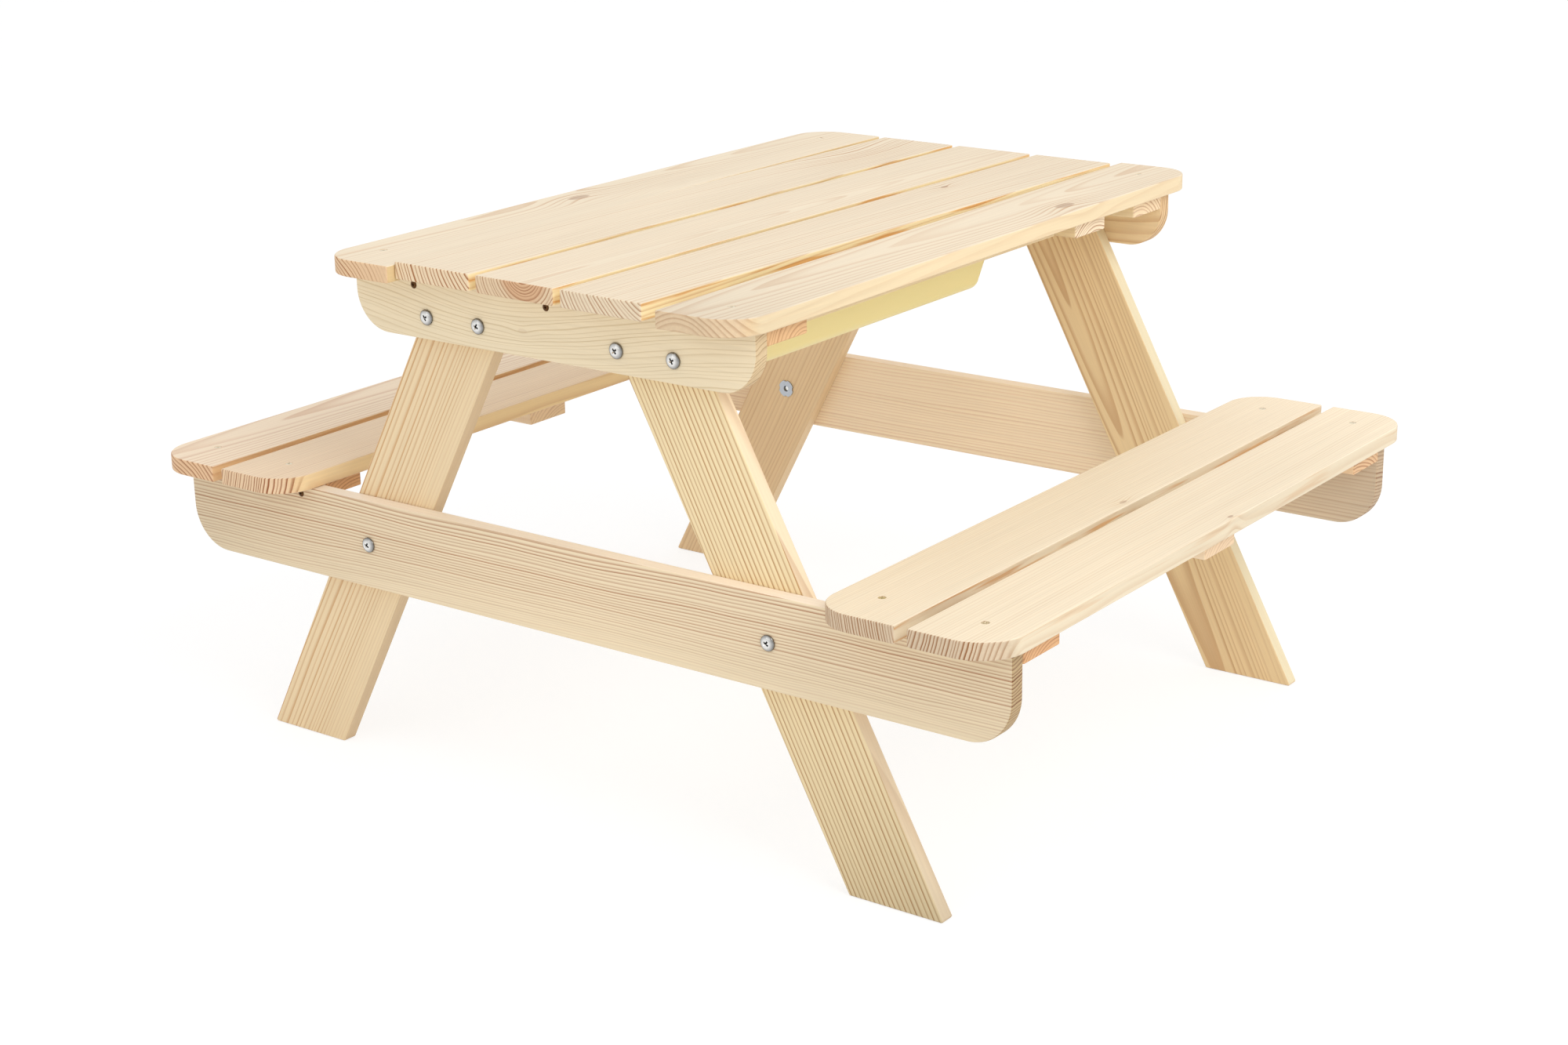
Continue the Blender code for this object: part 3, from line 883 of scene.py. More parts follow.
def evaluated(obj: bpy.types.Object) -> bpy.types.Mesh:
    """Apply an object's modifiers and remove the object.

    Args:
        obj: The object.

    Returns:
        The plain mesh that its modifiers made.
    """
    graph = bpy.context.evaluated_depsgraph_get()
    mesh = bpy.data.meshes.new_from_object(obj.evaluated_get(graph), depsgraph=graph)
    bpy.data.objects.remove(obj)
    return mesh


def carve(mesh: bpy.types.Mesh, cutter: bmesh.types.BMesh) -> bpy.types.Mesh:
    """Cut a shape out of a mesh.

    Args:
        mesh: The mesh to cut.
        cutter: The shape to cut out, which is freed.

    Returns:
        The mesh that is left.
    """
    tool, blank = hold("cutter", finished(cutter, "cutter")), hold("blank", mesh)
    cut = blank.modifiers.new("cut", "BOOLEAN")
    cut.operation = "DIFFERENCE"
    cut.solver = "EXACT"
    cut.use_self = True
    cut.object = tool
    left = evaluated(blank)
    bpy.data.objects.remove(tool)
    return left


@dataclass(frozen=True)
class Hole:
    """A round hole in a board.

    Args:
        mouth: Middle of the hole's mouth.
        out: Direction out of the mouth.
        radius: Radius at the mouth.
        inner: Radius at the far end.
        depth: Depth of the hole.
        above: How far above the mouth the cut starts.
        steps: Number of its sides.
    """

    mouth: Vector
    out: Vector
    radius: float
    inner: float
    depth: float
    above: float = 0.0003
    steps: int = 28

    def bore(self, bm: bmesh.types.BMesh) -> None:
        """Add the hole's shape to a cutter.

        Args:
            bm: The cutter.
        """
        flare = self.radius + (self.radius - self.inner) / self.depth * self.above
        middle = self.mouth + self.out * (self.above - self.depth) / 2
        turn = self.out.to_track_quat("Z", "Y").to_matrix().to_4x4()
        bmesh.ops.create_cone(bm, cap_ends=True, segments=self.steps, radius1=self.inner,
                              radius2=flare, depth=self.depth + self.above,
                              matrix=Matrix.Translation(middle) @ turn)


def drill(mesh: bpy.types.Mesh, holes: list[Hole]) -> bpy.types.Mesh:
    """Drill a board.

    Args:
        mesh: The board.
        holes: Its holes.

    Returns:
        The board with its holes.
    """
    bm = bmesh.new()
    for hole in holes:
        hole.bore(bm)
    return carve(mesh, bm)


def write_grain(mesh: bpy.types.Mesh, centre: Vector, axes: Axes) -> None:
    """Write each point's place along, across and through the board as an attribute.

    Args:
        mesh: The board.
        centre: Its middle.
        axes: Its three axes.
    """
    values = [(vertex.co - centre).dot(axis) for vertex in mesh.vertices for axis in axes]
    mesh.attributes.new(GRAIN, "FLOAT_VECTOR", "POINT").data.foreach_set("vector", values)


def put(name: str, mesh: bpy.types.Mesh, body: str, nodes: list[str]) -> None:
    """Show a mesh as a piece that rides on a body and stands for CAD nodes.

    Args:
        name: Name of the piece.
        mesh: Its mesh, in place.
        body: The body that it rides on.
        nodes: The CAD nodes that it stands for.
    """
    piece = hold(name, mesh)
    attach(piece, body)
    if nodes:
        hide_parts(*nodes)
    LOG.info("%s: %d faces on %s", name, len(mesh.polygons), body)


@dataclass(frozen=True)
class Workshop:
    """Saws and finishes every board of the table from its CAD node.

    Args:
        nodes: The CAD nodes by name.
        fixings: Where the holes go.
        pine: Makes the materials.
        timber: Makes the meshes.
        saw_band: Height within which a leg's points count as its sawn end.
    """

    nodes: dict[str, bpy.types.Object]
    fixings: "Fixings"
    pine: Pine
    timber: Timber = Timber()
    saw_band: float = 0.002

    def extent(self, node: str, axes: Axes) -> tuple[Vector, Vector]:
        """Measure a CAD node along three axes.

        Args:
            node: Name of the node.
            axes: The axes.

        Returns:
            Its middle and its size.
        """
        spans = []
        for axis in axes:
            reach = [vertex.co.dot(axis) for vertex in self.nodes[node].data.vertices]
            spans.append((min(reach), max(reach)))
        centre = sum((axis * (low + high) / 2 for axis, (low, high) in zip(axes, spans)), Vector())
        return centre, Vector([high - low for low, high in spans])

    def board(self, node: str, way: Way, cut: PineCut, body: str = "frame",
              rounded: tuple[tuple[int, int], ...] = (), radius: float = 0.0,
              turn: float = 0.0) -> None:
        """Rebuild a straight board.

        Args:
            node: The CAD node that it stands for.
            way: How it lies.
            cut: How it was sawn.
            body: The body that it rides on.
            rounded: Signs along and across of the rounded corners.
            radius: Radius of those corners.
            turn: Turn about the upright.
        """
        axes = way.axes(turn)
        centre, size = self.extent(node, axes)
        signs = ((-1, -1), (1, -1), (1, 1), (-1, 1))
        corners = [Vector((a * size.x / 2, b * size.y / 2)) for a, b in signs]
        radii = [radius if pair in rounded else self.timber.eased for pair in signs]
        steps = [self.timber.corner_steps if pair in rounded else self.timber.eased_steps
                 for pair in signs]
        mesh = self.timber.mesh(node, Outline(corners, radii, steps), axes, centre, size.z)
        self.dress(node, mesh, centre, axes, cut, body)

    def leg(self, node: str, cut: PineCut) -> None:
        """Rebuild a leaning leg, sawn level at both ends.

        Args:
            node: The CAD node that it stands for.
            cut: How it was sawn.
        """
        points = [vertex.co for vertex in self.nodes[node].data.vertices]
        low, high = min(p.z for p in points), max(p.z for p in points)
        foot = [p.x for p in points if p.z < low + self.saw_band]
        head = [p.x for p in points if p.z > high - self.saw_band]
        near, far = min(p.y for p in points), max(p.y for p in points)
        centre = Vector(((min(foot) + max(head)) / 2, (near + far) / 2, (low + high) / 2))
        corners = [Vector((x - centre.x, z - centre.z)) for x, z in
                   ((min(foot), low), (max(foot), low), (max(head), high), (min(head), high))]
        outline = Outline(corners, [self.timber.eased] * len(corners),
                          [self.timber.eased_steps] * len(corners))
        plane = (Vector((1, 0, 0)), Vector((0, 0, 1)), Vector((0, 1, 0)))
        mesh = self.timber.mesh(node, outline, plane, centre, far - near)
        lean = sum(head) / len(head) - sum(foot) / len(foot)
        along = Vector((lean, 0.0, high - low)).normalized()
        across = Vector((along.z, 0.0, -along.x))
        edges = (min(foot), max(foot), min(head), max(head))
        middle = Vector((sum(edges) / len(edges), centre.y, centre.z))
        self.dress(node, mesh, middle, (along, across, Vector((0, -1, 0))), cut, "frame")

    def dress(self, node: str, mesh: bpy.types.Mesh, centre: Vector, axes: Axes, cut: PineCut,
              body: str) -> None:
        """Drill a board, give it its grain and its material, and put it on its body.

        Args:
            node: The CAD node that it stands for.
            mesh: Its mesh.
            centre: Its middle.
            axes: Its three axes.
            cut: How it was sawn.
            body: The body that it rides on.
        """
        holes = self.fixings.holes(node)
        if holes:
            mesh = drill(mesh, holes)
        write_grain(mesh, centre, axes)
        mesh.materials.append(self.pine.material("pine_" + node, cut, axes))
        put(node + "_timber", mesh, body, [node])


# The table's boards

@dataclass(frozen=True)
class TableTop:
    """The two fixed outer planks and the lid between them.

    Args:
        corner_radius: Radius of the outer planks' outer corners.
        lid_turn: How far the loose lid lies turned about the upright.
    """

    corner_radius: float = 0.037
    lid_turn: float = math.radians(-1.25)

    FIXED = dict(early=(241, 225, 199), late=(200, 150, 98))
    # LOOSE's side tint paints light on the lid planks' narrow sides.
    LOOSE = dict(**FIXED, side=(1.10, 1.08, 0.86), side_face=1.2, streak=0.9)
    # The left plank's side tint paints shade on its side in the gap; the right plank's dim paints
    # shade towards its near end.
    PLANKS = {
        Side.LEFT: PineCut(pith=(-0.030, -0.026), spacing=0.0040, width=0.45, seed=3.1, face=0.46,
                           fade=20.0, end=1.2, tip=(1.0, 0.89, 0.80), side=(0.88, 0.78, 0.56),
                           **FIXED, knots=(Knot(-0.055, -0.015, 0.008, 0.45),
                                           Knot(0.050, 0.022, 0.013, 0.03))),
        Side.RIGHT: PineCut(pith=(-0.015, -0.030), drift=(0.01, 0.03), spacing=0.0044, seed=7.7,
                            face=0.42, end=0.5, dim=(0.9, 0.0), tip=(1.05, 1.02, 0.98),
                            side=(1.0, 0.955, 0.83), **FIXED,
                            knots=(Knot(0.159, 0.021, 0.008, 0.45),)),
    }
    LID = {
        "left": PineCut(pith=(0.105, 0.06), spacing=0.0041, width=0.45, seed=11.3, face=0.42,
                        end=1.4, tip=(1.08, 1.09, 1.09), crowd=2.4, **LOOSE,
                        knots=(Knot(0.275, -0.011, 0.016, 0.03),)),
        "middle": PineCut(pith=(0.014, 0.024), spacing=0.0032, seed=15.9, face=0.34, heart=0.027,
                          tip=(0.97, 0.95, 0.93), **LOOSE),
        "right": PineCut(pith=(0.07, 0.06), spacing=0.0035, seed=19.4, face=0.46,
                         tip=(1.04, 1.11, 1.19), **LOOSE,
                         knots=(Knot(0.172, -0.026, 0.0032, 0.6),)),
    }
    LID_BATTEN = PineCut(pith=(0.03, -0.05), seed=23.0, early=(238, 208, 164))

    def build(self, shop: Workshop) -> None:
        """Build the planks, the lid's planks and the lid's battens.

        Args:
            shop: Saws the boards.
        """
        for side, cut in self.PLANKS.items():
            shop.board(f"top_plank_{side.word}", Way.FLAT_ALONG_Y, cut,
                       rounded=((-1, side.value), (1, side.value)), radius=self.corner_radius)
        for name, cut in self.LID.items():
            shop.board(f"lid_plank_{name}", Way.FLAT_ALONG_Y, cut, "lid", turn=self.lid_turn)
        for end in End:
            shop.board(f"lid_batten_{end.word}", Way.FLAT_ALONG_X, self.LID_BATTEN, "lid",
                       turn=self.lid_turn)


@dataclass(frozen=True)
class TopFrame:
    """The aprons, battens and rails under the top.

    Args:
        corner_radius: Radius of the aprons' lower corners.
    """

    corner_radius: float = 0.037

    APRONS = {
        End.NEAR: PineCut(pith=(-0.13, -0.05), spacing=0.0040, wander=0.014, width=0.34,
                          uneven=2.0, seed=27.2, face=0.56, early=(241, 224, 191),
                          late=(192, 164, 114), crowd=0.0, tip=(0.88, 0.88, 0.87),
                          knots=(Knot(-0.027, -0.005, 0.0030, 0.10),
                                 Knot(-0.030, 0.024, 0.030, 0.0))),
        End.FAR: PineCut(pith=(0.02, 0.07), drift=(0.0, 0.03), spacing=0.005, wander=0.010,
                         seed=31.8, early=(242, 217, 176)),
    }
    BATTENS = {
        "top_batten_near": PineCut(pith=(0.02, -0.03), spacing=0.004, seed=35.1, end=0.6,
                                   early=(240, 206, 164), late=(206, 146, 98)),
        "top_batten_far": PineCut(pith=(-0.02, -0.04), spacing=0.004, seed=37.6,
                                  tip=(1.14, 1.19, 1.38)),
        "tray_batten": PineCut(pith=(0.01, -0.05), spacing=0.003, seed=39.9,
                               tip=(1.20, 1.34, 1.72)),
    }
    RAIL = PineCut(pith=(0.03, -0.06), seed=43.2)

    def build(self, shop: Workshop) -> None:
        """Build the aprons, the battens and the rails.

        Args:
            shop: Saws the boards.
        """
        for end, cut in self.APRONS.items():
            shop.board(f"apron_{end.word}", Way.ON_EDGE_ALONG_X, cut,
                       rounded=LOWER_CORNERS, radius=self.corner_radius)
        for node, cut in self.BATTENS.items():
            shop.board(node, Way.FLAT_ALONG_X, cut)
        for side in Side:
            shop.board(f"tray_rail_{side.word}", Way.FLAT_ALONG_Y, self.RAIL)


@dataclass(frozen=True)
class Trestles:
    """The leaning legs and the beams that carry the benches.

    Args:
        corner_radius: Radius of the beams' lower corners.
    """

    corner_radius: float = 0.042

    # The beams' side tints paint light on their top strips, and their dim paints shade towards
    # their ends.
    BEAMS = {
        End.NEAR: PineCut(pith=(0.16, 0.01), spacing=0.0029, gain=0.010, fade=19.0, uneven=1.0,
                          width=0.7, wander=0.008, seed=47.0, face=0.98, end=1.3,
                          tip=(0.72, 0.69, 0.60), side=(1.10, 1.14, 1.34), side_face=0.0,
                          dim=(0.75, 0.6), early=(242, 223, 189), late=(178, 126, 90)),
        End.FAR: PineCut(pith=(-0.20, 0.02), spacing=0.0036, wander=0.006, seed=51.5, face=0.40,
                         dim=(0.0, 1.7), side=(1.06, 1.08, 1.12), side_face=0.1,
                         early=(254, 233, 203), late=(204, 152, 110)),
    }
    # The legs' side tints paint light and shade on their sides, and near_right's dim paints shade
    # towards its foot.
    LEGS = {
        "near_left": PineCut(pith=(-0.12, 0.01), spacing=0.0044, gain=0.020, fade=17.0,
                             uneven=1.5, width=0.5, wander=0.004, seed=55.3, face=0.8,
                             side=(0.86, 0.83, 0.84), early=(239, 215, 175),
                             late=(194, 138, 78)),
        "near_right": PineCut(pith=(0.15, 0.02), spacing=0.0046, gain=0.006, uneven=0.5,
                              width=0.5, wander=0.002, seed=59.8, face=1.0, dim=(4.0, 0.0),
                              side=(1.0, 1.0, 1.14), early=(246, 225, 181), late=(182, 134, 80)),
        "far_left": PineCut(pith=(-0.07, 0.05), spacing=0.004, seed=63.1, face=0.40,
                            early=(239, 211, 171)),
        "far_right": PineCut(pith=(-0.025, -0.014), drift=(0.01, 0.03), spacing=0.0046,
                             seed=67.4, face=0.70, fade=16.0, uneven=1.8,
                             side=(1.0, 1.15, 1.35), early=(238, 211, 166),
                             late=(178, 120, 68)),
    }

    def build(self, shop: Workshop) -> None:
        """Build the beams and the legs.

        Args:
            shop: Saws the boards.
        """
        for end, cut in self.BEAMS.items():
            shop.board(f"beam_{end.word}", Way.ON_EDGE_ALONG_X, cut,
                       rounded=LOWER_CORNERS, radius=self.corner_radius)
        for name, cut in self.LEGS.items():
            shop.leg(f"leg_{name}", cut)


@dataclass(frozen=True)
class Benches:
    """Two benches of two planks on three battens.

    Args:
        inner_radius: Radius of the inner planks' corners towards the table.
        outer_radius: Radius of the outer planks' outer corners.
    """

    inner_radius: float = 0.037
    outer_radius: float = 0.042

    # PALE's side tint paints shade on the right planks' narrow sides, and its dim paints light
    # towards the far end.
    PALE = dict(early=(244, 229, 203), late=(206, 162, 112), side=(0.88, 0.87, 0.84),
                tip=(0.82, 0.82, 0.85), end=1.3, dim=(0.0, -0.6))
    # The left planks' side tints paint light and shade on their narrow sides.
    PLANKS = {
        "left_inner": PineCut(pith=(-0.12, 0.03), spacing=0.0032, seed=71.0, face=0.40, end=1.3,
                              early=(244, 221, 191), late=(190, 134, 92),
                              side=(1.02, 0.98, 0.80), side_face=0.8),
        "left_outer": PineCut(pith=(-0.02, -0.04), spacing=0.0044, seed=75.6, face=0.56, end=1.2,
                              early=(248, 228, 202), late=(198, 142, 98),
                              side=(0.84, 0.68, 0.50), side_face=0.8, tip=(0.94, 0.84, 0.74)),
        "right_inner": PineCut(pith=(0.25, 0.05), spacing=0.0027, seed=79.2, face=0.30,
                               side_face=1.4, streak=0.8, **PALE,
                               knots=(Knot(-0.006, 0.034, 0.003, 0.35),)),
        "right_outer": PineCut(pith=(-0.16, 0.05), spacing=0.0032, seed=83.7, face=0.30,
                               side_face=1.2, streak=0.3, **PALE,
                               knots=(Knot(0.009, 0.037, 0.0024, 0.5),)),
    }
    BATTENS = {
        "near": PineCut(pith=(0.02, -0.05), spacing=0.0035, seed=87.1, early=(234, 192, 148),
                        late=(192, 130, 88)),
        "middle": PineCut(pith=(0.03, -0.05), spacing=0.0040, seed=91.4, end=0.4,
                          early=(250, 230, 202), late=(222, 184, 144)),
        "far": PineCut(pith=(-0.02, -0.06), spacing=0.0035, seed=95.9, early=(242, 210, 172),
                       late=(204, 150, 108)),
    }

    def build(self, shop: Workshop) -> None:
        """Build the planks and the battens.

        Args:
            shop: Saws the boards.
        """
        for side in Side:
            for row, sign, radius in (("inner", -side.value, self.inner_radius),
                                      ("outer", side.value, self.outer_radius)):
                shop.board(f"bench_{side.word}_{row}_plank", Way.FLAT_ALONG_Y,
                           self.PLANKS[f"{side.word}_{row}"],
                           rounded=((-1, sign), (1, sign)), radius=radius)
            for place, cut in self.BATTENS.items():
                shop.board(f"bench_{side.word}_batten_{place}", Way.FLAT_ALONG_X, cut)


# The sand tray

@dataclass(frozen=True)
class TrayPlastic:
    """The satin moulded plastic, clouded between two display colours.

    Args:
        deep: The deeper yellow.
        pale: The paler yellow.
        cloud_waves: Waves of the clouds for each metre.
        cloud_share: How strongly they show.
        rough: Roughness.
        rough_share: How much the clouds change it.
        speckle_waves: Waves of the fine relief for each metre.
        relief: Strength of that relief.
        relief_depth: Its depth.
        glow: Weight of the light that passes through the wall.
        glow_reach: How far red, green and blue light travel in it.
    """

    deep: Display = (251, 234, 166)
    pale: Display = (253, 239, 176)
    cloud_waves: Triple = (5.0, 5.0, 5.0)
    cloud_share: float = 0.8
    rough: float = 0.42
    rough_share: float = 0.10
    speckle_waves: Triple = (900.0, 900.0, 900.0)
    relief: float = 0.08
    relief_depth: float = 0.0002
    glow: float = 0.1
    glow_reach: Triple = (0.004, 0.003, 0.002)

    def material(self) -> bpy.types.Material:
        """Make the material.

        Returns:
            The material.
        """
        material, g, shader = new_material("tray_plastic")
        place = g.add("ShaderNodeTexCoord").outputs["Object"]
        cloud = g.noise(place, self.cloud_waves)
        share = g.line(cloud, self.cloud_share, 0.5, clamp=True)
        bump = g.add("ShaderNodeBump", {"Height": g.noise(place, self.speckle_waves),
                                        "Strength": self.relief, "Distance": self.relief_depth})
        g.fill(shader, {"Base Color": g.mix(share, linear(*self.deep), linear(*self.pale)),
                        "Roughness": g.line(cloud, self.rough_share, self.rough),
                        "Normal": bump.outputs["Normal"], "Subsurface Weight": self.glow,
                        "Subsurface Radius": self.glow_reach})
        return material


@dataclass(frozen=True)
class SandTray:
    """The pale yellow tub with its lips, in metres.

    Args:
        low: Lowest corner of its box.
        high: Highest corner of its box.
        wall: Thickness of the wall.
        draft: How far the walls lean outwards.
        corner: Radius of the upright corners.
        floor_corner: Least radius of those corners, down at the floor.
        floor_radius: Radius between the walls and the floor.
        side_lip: Reach of the lips at the sides.
        end_lip: Reach of the lips at the ends.
        corner_steps: Steps of a corner.
        floor_steps: Steps of the floor's radius.
        softness: Width of the bevel on the lips.
        soft_steps: Steps of that bevel.
        soft_from: Angle past which an edge gets that bevel.
        crease: Angle past which an edge stays sharp.
    """

    low: Vector
    high: Vector
    wall: float = 0.0025
    draft: float = math.radians(12.6)
    corner: float = 0.015
    floor_corner: float = 0.0075
    floor_radius: float = 0.012
    side_lip: float = 0.002
    end_lip: float = 0.012
    corner_steps: int = 14
    floor_steps: int = 10
    softness: float = 0.0008
    soft_steps: int = 2
    soft_from: float = math.radians(50)
    crease: float = math.radians(35)

    def ring(self, width: float, length: float, radius: float, height: float) -> list[Vector]:
        """Draw a rounded rectangle round the tray's axis.

        Args:
            width: Half its width.
            length: Half its length.
            radius: Radius of its corners.
            height: Its height over the lips' top.

        Returns:
            Its points.
        """
        centre = (self.low + self.high) / 2
        points = []
        for quarter, (across, along) in enumerate(((1, 1), (-1, 1), (-1, -1), (1, -1))):
            for step in range(self.corner_steps + 1):
                angle = (quarter + step / self.corner_steps) * math.pi / 2
                points.append(Vector((
                    centre.x + across * (width - radius) + radius * math.cos(angle),
                    centre.y + along * (length - radius) + radius * math.sin(angle),
                    self.high.z + height)))
        return points

    def rings(self) -> list[list[Vector]]:
        """Follow the outer surface from the lip's edge down to the floor.

        Returns:
            The loops of points.
        """
        half = (self.high - self.low) / 2
        width, length = half.x - self.side_lip, half.y - self.end_lip
        rings = [self.ring(half.x, half.y, self.corner, -self.wall),
                 self.ring(width, length, self.corner, -self.wall)]
        middle = self.low.z - self.high.z + self.floor_radius
        tangent = middle - self.floor_radius * math.sin(self.draft)
        tangent_inset = (-self.wall - tangent) * math.tan(self.draft)
        middle_inset = tangent_inset + self.floor_radius * math.cos(self.draft)
        for step in range(self.floor_steps + 1):
            angle = self.draft + (math.pi / 2 - self.draft) * step / self.floor_steps
            inset = middle_inset - self.floor_radius * math.cos(angle)
            radius = max(self.corner - inset + tangent_inset, self.floor_corner)
            rings.append(self.ring(width - inset, length - inset, radius,
                                   middle - self.floor_radius * math.sin(angle)))
        return rings

    def build(self) -> None:
        """Build the tub with an even wall and put it on its body."""
        bm = skin(self.rings())
        bmesh.ops.recalc_face_normals(bm, faces=bm.faces)
        floor = min(bm.faces, key=lambda face: face.calc_center_median().z)
        if floor.normal.z > 0.0:
            bmesh.ops.reverse_faces(bm, faces=bm.faces)
        tub = hold("sand_tray_tub", finished(bm, "sand_tray_tub"))
        wall = tub.modifiers.new("wall", "SOLIDIFY")
        wall.thickness = self.wall
        wall.offset = -1.0
        wall.use_even_offset = True
        soft = tub.modifiers.new("soft", "BEVEL")
        soft.width = self.softness
        soft.segments = self.soft_steps
        soft.limit_method = "ANGLE"
        soft.angle_limit = self.soft_from
        mesh = evaluated(tub)
        mesh.shade_smooth()
        mesh.set_sharp_from_angle(angle=self.crease)
        mesh.materials.append(TrayPlastic().material())
        put("sand_tray_tub", mesh, "tray", ["sand_tray"])


# Fasteners

@dataclass(frozen=True)
class Fixings:
    """Where the bolts and the wood screws go, and the holes that they need.

    Args:
        names: Names of the CAD nodes.
        bolt_hole: Radius of a bolt's hole.
        nut_hole: Radius of a pronged nut's hole.
        through: How much a through hole is longer than its board is thick.
        screw_mouth: Radius of a screw's hole at its mouth.
        screw_hole: Radius at its far end.
        screw_sink: Its depth.
    """

    names: tuple[str, ...]
    bolt_hole: float = 0.0033
    nut_hole: float = 0.0043
    through: float = 0.001
    screw_mouth: float = 0.0036
    screw_hole: float = 0.0017
    screw_sink: float = 0.0032

    PLANK_SCREWS = {
        "top_plank_left": ((-0.1999, -0.3328), (-0.1990, 0.3379)),
        "top_plank_right": ((0.1949, -0.3367), (0.1955, 0.3342)),
        "bench_left_inner_plank": ((-0.3415, -0.3351), (-0.3400, 0.3370)),
        "bench_left_outer_plank": ((-0.4407, -0.3343), (-0.4385, 0.3375)),
        "bench_right_inner_plank": ((0.3390, -0.3336), (0.3403, 0.3376)),
        "bench_right_outer_plank": ((0.4391, -0.3367), (0.4365, 0.3394)),
    }
    EDGE_SCREWS = {"apron": ((-0.1534, 0.4765), (0.0012, 0.4759), (0.1540, 0.4795)),
                   "beam": ((-0.3176, 0.2547), (0.3176, 0.2547))}

    def bolts(self, timber: str, end: End) -> list[Vector]:
        """Find the bolts of a timber.

        Args:
            timber: Kind of timber, apron or beam.
            end: Its end of the table.

        Returns:
            The middle of each bolt.
        """
        names = sorted(name for name in self.names
                       if name.startswith(f"{timber}_bolt_{end.word}"))
        return [sum(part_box(name), Vector()) / 2 for name in names]

    def plank_screws(self, plank: str) -> list[Place]:
        """Find the screws in a plank's top.

        Args:
            plank: The CAD node of the plank.

        Returns:
            The place and the outward direction of each screw.
        """
        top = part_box(plank)[1].z
        return [(Vector((x, y, top)), Vector((0, 0, 1)))
                for x, y in self.PLANK_SCREWS.get(plank, ())]

    def edge_screws(self, kind: str, end: End) -> list[Place]:
        """Find the screws in an apron's or a beam's outer face.

        Args:
            kind: Kind of timber, apron or beam.
            end: Its end of the table.

        Returns:
            The place and the outward direction of each screw.
        """
        low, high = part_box(f"{kind}_{end.word}")
        face = high.y if end is End.FAR else low.y
        return [(Vector((x, face, z)), Vector((0, end.value, 0)))
                for x, z in self.EDGE_SCREWS[kind]]

    def holes(self, node: str) -> list[Hole]:
        """Find the holes of a board.

        Args:
            node: The CAD node of the board.

        Returns:
            Its holes.
        """
        low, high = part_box(node)
        kind, *rest = node.split("_")
        middles, radius = [], self.bolt_hole
        screws = self.plank_screws(node)
        if kind in self.EDGE_SCREWS:
            end = End[rest[0].upper()]
            middles = self.bolts(kind, end)
            screws = self.edge_screws(kind, end)
        if kind == "leg":
            end, side = End[rest[0].upper()], Side[rest[1].upper()]
            radius = self.nut_hole
            middles = [place for timber in self.EDGE_SCREWS for place in self.bolts(timber, end)
                       if place.x * side.value > 0]
        depth = high.y - low.y + self.through
        holes = [Hole(Vector((place.x, high.y, place.z)), Vector((0, 1, 0)), radius, radius, depth)
                 for place in middles]
        return holes + [Hole(place, out, self.screw_mouth, self.screw_hole, self.screw_sink)
                        for place, out in screws]


@dataclass(frozen=True)
class Metal:
    """A plated metal with faint scratches, darker where its mesh says so.

    Args:
        name: Name of the material.
        bright: Display colour of the clean plating.
        dark: Display colour of the painted shade in the recess and at the rim.
        rough: Roughness.
        scratch_waves: Waves of the scratches for each metre.
        scratch_detail: How many finer scratches they have.
        scratch_share: How strong these are.
        scratch_dark: How much the scratches darken.
        scratch_rough: How much they roughen.
    """

    name: str
    bright: Display
    dark: Display
    rough: float
    scratch_waves: Triple = (260.0, 900.0, 260.0)
    scratch_detail: float = 3.0
    scratch_share: float = 0.6
    scratch_dark: float = 0.25
    scratch_rough: float = 0.14

    def material(self) -> bpy.types.Material:
        """Make the material.

        Returns:
            The material.
        """
        material, g, shader = new_material(self.name)
        place = g.add("ShaderNodeTexCoord").outputs["Object"]
        scratch = g.noise(place, self.scratch_waves, self.scratch_detail, self.scratch_share)
        # Painted shade from the bolt's mesh, dark in the recess and at the rim.
        soil = g.add("ShaderNodeAttribute", attribute_name=PAINTED_SHADE).outputs["Fac"]
        share = g.plus(soil, g.times(scratch, self.scratch_dark), clamp=True)
        g.fill(shader, {"Base Color": g.mix(share, linear(*self.bright), linear(*self.dark)),
                        "Roughness": g.line(scratch, self.scratch_rough, self.rough),
                        "Metallic": 1.0})
        return material


@dataclass(frozen=True)
class CrossRecess:
    """A tapered cross recess in a head.

    Args:
        length: Length of the cross at the surface.
        width: Width of its arms.
        depth: Depth of the recess.
        length_taper: Share of the length that is left at the bottom.
        width_taper: Share of the width that is left there.
        above: How far above the head the cut starts.
    """

    length: float
    width: float
    depth: float
    length_taper: float = 0.35
    width_taper: float = 0.7
    above: float = 0.001

    def cut(self, mesh: bpy.types.Mesh, top: float) -> bpy.types.Mesh:
        """Cut the recess into a head.

        Args:
            mesh: The fastener.
            top: Height of the head's top.

        Returns:
            The fastener with its recess.
        """
        bm = bmesh.new()
        for turn in (0.0, math.pi / 2):
            made = bmesh.ops.create_cube(bm, size=1.0)["verts"]
            for vertex in made:
                upper = vertex.co.z > 0
                long = self.length * (1.0 if upper else self.length_taper)
                wide = self.width * (1.0 if upper else self.width_taper)
                vertex.co = Vector((vertex.co.x * long, vertex.co.y * wide,
                                    top + self.above if upper else top - self.depth))
            bmesh.ops.rotate(bm, verts=made, cent=(0, 0, 0), matrix=Matrix.Rotation(turn, 3, "Z"))
        return carve(mesh, bm)


